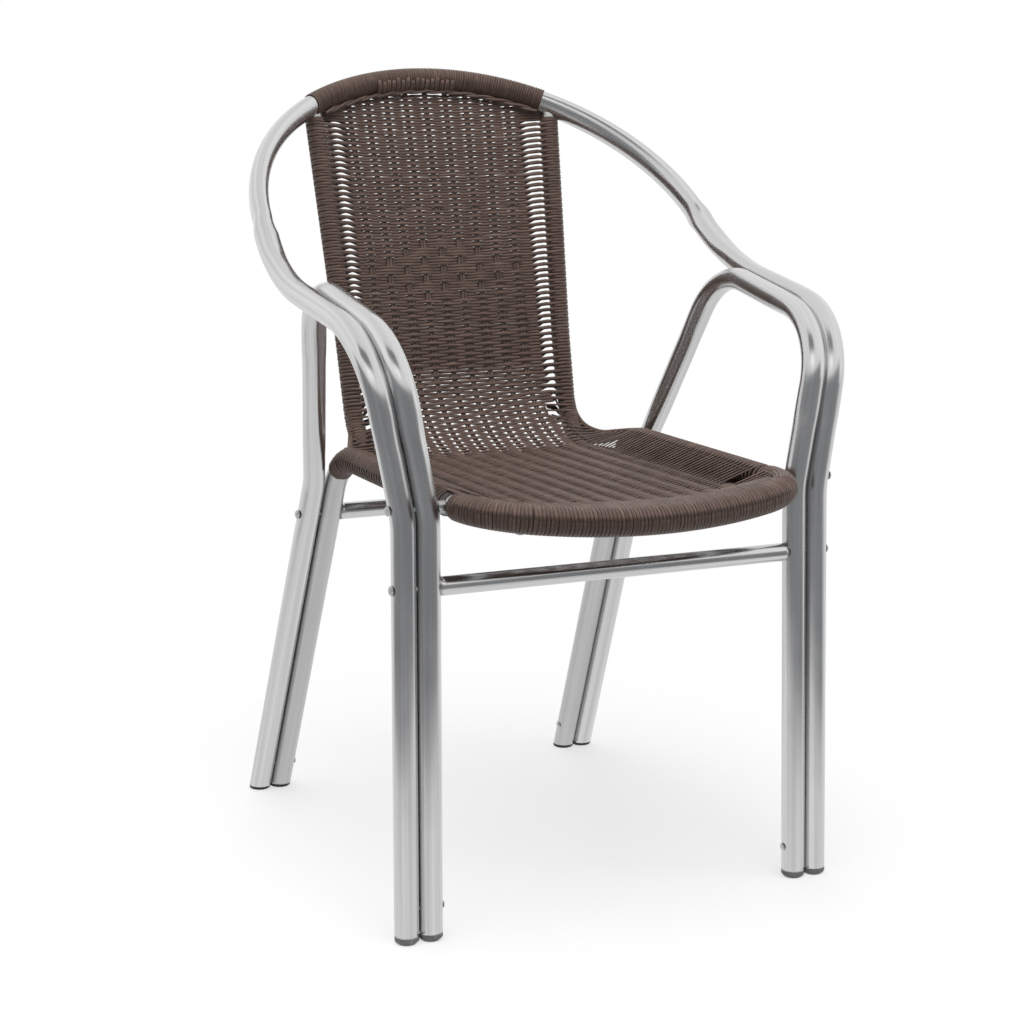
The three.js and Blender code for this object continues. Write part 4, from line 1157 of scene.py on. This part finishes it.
RAIL_WRAP_TOP, RAIL_WRAP_LOW_SETBACK = 803.5, 352.0
LEG_WRAP_LOW, LEG_TURNS_GAP, LEG_BEND_OUT = 421.0, 3.0, 14.0
RAIL_PITCH = 3.6
TURN_WIDTH = 3.7
RIM_PITCH, RIM_TURN_RADIUS, RIM_BARE_END = 3.3, 2.5, 2.0
WRAP_ENDS = {"left": 22.0, "right": 8.0}
BACK_FACING = {"left": (-0.5, -0.84, 0.2), "right": (0.25, -0.94, 0.2)}
SIDE_FACING = (0.3, -0.1, 0.95)
BACK_TURN_RADIUS, SIDE_TURN_RADIUS = 10.25, 13.25
# How much thicker than its tube the painted-shade sleeve under the turns is
SHADE_SLEEVE_EXTRA = 0.6

held = [holder(s) for s in rows[1::2] if profile.at(s)[2] < RAIL_TOP_ROW]
back_turns = np.array([at for line, at, _ in held if line is back_rail])
side_turns = np.array([at for line, at, _ in held if line is seat_frame])
side_turns = side_turns[side_turns > side_start]
rail_top = back_rail.where(2, RAIL_WRAP_TOP)
rail_low = back_rail.where(1, RAIL_WRAP_LOW_SETBACK, BACK_RAIL_SEAT)
under_turns = np.arange(back_turns[-1] + RAIL_PITCH, rail_low, RAIL_PITCH)
back_turns = np.concatenate([[rail_top], back_turns, under_turns])
leg_from = seat_frame.where(2, LEG_WRAP_LOW, SEAT_RAIL)
leg_turns = spaced(seat_frame, leg_from, side_turns[0] - LEG_TURNS_GAP, RAIL_PITCH, LEG_BEND_OUT)
rim_turns = np.arange(RIM_BARE_END, rim.total - RIM_BARE_END, RIM_PITCH)
for side, mirror in (("left", False), ("right", True)):
    shape = Shape()
    tag = TAGS["back rail turns"] + mirror
    coil(shape, back_rail, back_turns, BACK_TURN_RADIUS, TURN_WIDTH, tag, BACK_FACING[side], mirror=mirror)
    shape.mesh(side + "_back_rail_winding", cane, "brown_cane", [side + "_back_rail_wrap"])
    shape = Shape()
    wrap_end = seat_frame.where(1, WRAP_ENDS[side], side_start, seat_middle)
    turns = np.concatenate([leg_turns, side_turns[side_turns < wrap_end]])
    tag = TAGS["side rail turns"] + mirror
    coil(shape, seat_frame, turns, SIDE_TURN_RADIUS, TURN_WIDTH, tag, SIDE_FACING, mirror=mirror)
    coil(shape, rim, rim_turns, RIM_TURN_RADIUS, RIM_PITCH, TAGS["rim"], (0, 0, 1), mirror=mirror,
         stations=RIM_STATIONS)
    shape.mesh(side + "_side_rail_winding", cane, "brown_cane", [side + "_side_rail_wrap"])

# Under the turns the tubes carry a sleeve painted near-black, which stands for the shade between the turns
# and hides the bare tube there; it starts a little past the first turn
LAYER_GAP = 2.0
for side, mirror in (("left", False), ("right", True)):
    shape = Shape()
    thick, tag = BACK_TUBE + SHADE_SLEEVE_EXTRA, TAGS["back shade sleeve"]
    tube(shape, back_rail, rail_top + LAYER_GAP, rail_low, thick, sides=20, mirror=mirror, tag=tag)
    thick, tag = TUBE + SHADE_SLEEVE_EXTRA, TAGS["side shade sleeve"]
    tube(shape, seat_frame, leg_turns[0] + LAYER_GAP, wrap_end, thick, sides=24, mirror=mirror, tag=tag)
    shape.mesh(side + "_rails_painted_shade_sleeve", shade_painted_cane, "brown_cane")
shape = Shape()
ends, tag = (front_left + LAYER_GAP, right_end - LAYER_GAP), TAGS["front shade sleeve"]
tube(shape, seat_frame, *ends, thick, sides=24, tag=tag)
ends, tag = (arch_left + LAYER_GAP, arch_right - LAYER_GAP), TAGS["arch shade sleeve"]
tube(shape, hoop, *ends, thick, hoop_press, sides=24, tag=tag)
shape.mesh("front_and_arch_painted_shade_sleeve", shade_painted_cane, "brown_cane")


# Carried-over parts take the detailed finishes
FINISHES = {
    "zinc_plated": zinc,
    "satin_aluminium": satin,
    "grey_plastic": grey_plastic,
    "black_plastic": black_plastic,
    "brown_cane": cane,
    "polished_aluminium": polished,
}
for row in frame["record"]["subparts"]:
    node = frame["nodes"][row["node"]]
    if not node.hide_render:
        node.data.materials.clear()
        node.data.materials.append(FINISHES[row["material_slot"]])


# Stage, lights and camera, with lengths in metres

ROOM_DARK = (0.25, 0.255, 0.265)
FLOOR_WHITE = (0.9, 0.9, 0.9)
TO_CAMERA = (-0.42, -0.91, 0)
FLOOR = 30.0

# Metres between which the floor turns plain white, and between which its mirror image turns dark
WHITE_RADII, LEAST_WHITE = (0.45, 1.3), 0.62
DARK_RADII, DARK_SECTOR = (0.8, 1.2), (-0.15, 0.25)
THROWN_GREY = (0.3, 0.3, 0.3, 1)


def shown(piece):
    """Puts a piece of the studio into the scene."""
    bpy.context.scene.collection.objects.link(piece)


def floor_finish():
    """A white floor that keeps a pale shadow. Further out it is plain white to the eye.

    In reflections the floor is white round the object and dark further out on the side of the camera, as in a
    studio with the room dark behind the camera.
    """
    finish = Finish("floor_white")
    finish.set(Base_Color=(*FLOOR_WHITE, 1), Roughness=0.9, Specular_IOR_Level=0.0)
    place = finish.node("ShaderNodeTexCoord").outputs["Object"]
    flat = finish.node("ShaderNodeVectorMath", operation="MULTIPLY")
    flat.inputs[1].default_value = (1, 1, 0)
    finish.join(place, flat.inputs[0])
    reach = finish.node("ShaderNodeVectorMath", operation="LENGTH")
    finish.join(flat.outputs["Vector"], reach.inputs[0])
    radius = reach.outputs["Value"]
    ways = finish.node("ShaderNodeLightPath")

    white_share = finish.spread(radius, LEAST_WHITE, 1.0, *WHITE_RADII)
    seen = finish.mixed(white_share, finish.shader.outputs["BSDF"], finish.glow((1, 1, 1)).outputs[0])

    ahead = finish.node("ShaderNodeVectorMath", operation="DOT_PRODUCT")
    finish.join(place, ahead.inputs[0])
    ahead.inputs[1].default_value = TO_CAMERA
    share = finish.math("DIVIDE", ahead.outputs["Value"], radius)
    sector = finish.spread(share, 0.0, 1.0, *DARK_SECTOR)
    far = finish.spread(radius, 0.0, 1.0, *DARK_RADII)
    dark_share = finish.math("MULTIPLY", sector, far)
    mirrored_floor = finish.glow((1, 1, 1))
    mirrored_tone = finish.ramp(dark_share, [(0.0, FLOOR_WHITE), (1.0, ROOM_DARK)])
    finish.join(mirrored_tone, mirrored_floor.inputs["Color"])

    thrown = finish.node("ShaderNodeBsdfDiffuse")
    thrown.inputs["Color"].default_value = THROWN_GREY
    by_glossy = finish.mixed(ways.outputs["Is Glossy Ray"], seen, mirrored_floor.outputs[0])
    by_diffuse = finish.mixed(ways.outputs["Is Diffuse Ray"], by_glossy, thrown.outputs[0])
    finish.join(by_diffuse, finish.output.inputs["Surface"])
    return finish.material


floor_mesh = bpy.data.meshes.new("floor")
corners = [(-FLOOR, -FLOOR, 0), (FLOOR, -FLOOR, 0), (FLOOR, FLOOR, 0), (-FLOOR, FLOOR, 0)]
floor_mesh.from_pydata(corners, [], [(0, 1, 2, 3)])
floor_mesh.materials.append(floor_finish())
shown(bpy.data.objects.new("floor", floor_mesh))


def reflected_screen(name, radius, low_height, high_height, half_angle, glow):
    """An upright arc on the camera's side that only reflections show.

    point = radius (cos(a), sin(a)), for a from -half_angle to half_angle about the camera's bearing, at two
    heights. Lengths are metres.
    """
    bearing = math.atan2(TO_CAMERA[1], TO_CAMERA[0])
    a = bearing + np.radians(np.linspace(-half_angle, half_angle, 40))
    low_edge = np.stack([radius * np.cos(a), radius * np.sin(a), 0 * a + low_height], -1)
    high_edge = low_edge + [0, 0, high_height - low_height]
    count = len(a)
    mesh = bpy.data.meshes.new(name)
    faces = [(k, k + 1, count + k + 1, count + k) for k in range(count - 1)]
    mesh.from_pydata(np.concatenate([low_edge, high_edge]).tolist(), [], faces)
    finish = Finish(name)
    finish.join(finish.glow(glow).outputs[0], finish.output.inputs["Surface"])
    mesh.materials.append(finish.material)
    screen = bpy.data.objects.new(name, mesh)
    shown(screen)
    screen.visible_camera = False
    screen.visible_diffuse = False
    screen.visible_shadow = False
    screen.visible_transmission = False


reflected_screen("dark_room_screen", 3.2, 0.0, 1.55, 74, ROOM_DARK)
reflected_screen("bright_softbox_screen", 3.0, 2.1, 3.1, 16, (1.5, 1.5, 1.5))
reflected_screen("dark_upper_screen", 3.1, 3.4, 7.5, 34, (0.22, 0.22, 0.22))

# The world is white to the camera and in reflections, and weaker as a light
AMBIENT = 0.4
world = bpy.data.worlds.new("studio")
bpy.context.scene.world = world
sky = Nodes(world)
path = sky.node("ShaderNodeLightPath")
seen, ambient = (sky.node("ShaderNodeBackground") for _ in range(2))
for background, strength in ((seen, 1.0), (ambient, AMBIENT)):
    background.inputs["Color"].default_value = (1, 1, 1, 1)
    background.inputs["Strength"].default_value = strength
either = sky.math("MAXIMUM", path.outputs["Is Camera Ray"], path.outputs["Is Glossy Ray"])
any_of_three = sky.math("MAXIMUM", either, path.outputs["Is Transmission Ray"])
surface = sky.mixed(any_of_three, ambient.outputs[0], seen.outputs[0])
sky.join(surface, sky.node("ShaderNodeOutputWorld").inputs["Surface"])


def lamp(name, place, aim, size, power):
    """A rectangular soft light that reflections don't show."""
    light = bpy.data.lights.new(name, "AREA")
    light.shape = "RECTANGLE"
    light.size, light.size_y = size
    light.energy = power
    made = bpy.data.objects.new(name, light)
    bpy.context.scene.collection.objects.link(made)
    made.location = place
    made.visible_glossy = False
    look = Vector(aim) - Vector(place)
    made.rotation_euler = look.to_track_quat("-Z", "Y").to_euler()


lamp("overhead_softbox", (-0.5, -0.7, 3.0), (0, 0, 0.5), (3.2, 2.6), 98)
lamp("fill_softbox", (2.4, -1.8, 1.9), (0, 0, 0.5), (1.0, 1.6), 12)
lamp("rear_softbox", (0.4, 2.6, 2.4), (0, 0, 0.6), (2.4, 1.0), 20)

# Camera: its place in metres, its directions, and its focal length and shift in widths of the picture
CAMERA_PLACE = (-0.9606, -1.83055 - DEPTH_CENTRE * MM, 0.8074)
CAMERA_FORWARD, CAMERA_RIGHT = (0.4105, 0.8967, -0.1656), (0.9092, -0.4163, 0.0)
PICTURE = 1024
FOCAL_WIDTHS, SHIFT_WIDTHS = 2091 / PICTURE, -44.5 / PICTURE
SENSOR = 36.0
camera_data = bpy.data.cameras.new("camera")
camera = bpy.data.objects.new("camera", camera_data)
bpy.context.scene.collection.objects.link(camera)
bpy.context.scene.camera = camera
forward, right = unit(CAMERA_FORWARD), unit(CAMERA_RIGHT)
up = np.cross(right, forward)
turn = Matrix([[right[k], up[k], -forward[k], 0] for k in range(3)] + [[0, 0, 0, 1]])
camera.matrix_world = Matrix.Translation(CAMERA_PLACE) @ turn
camera_data.sensor_fit = "AUTO"
camera_data.sensor_width = SENSOR
camera_data.lens = FOCAL_WIDTHS * SENSOR
camera_data.shift_x = 0.0
camera_data.shift_y = SHIFT_WIDTHS
camera_data.clip_start, camera_data.clip_end = 0.05, 100

bpy.context.scene.view_settings.view_transform = "Standard"
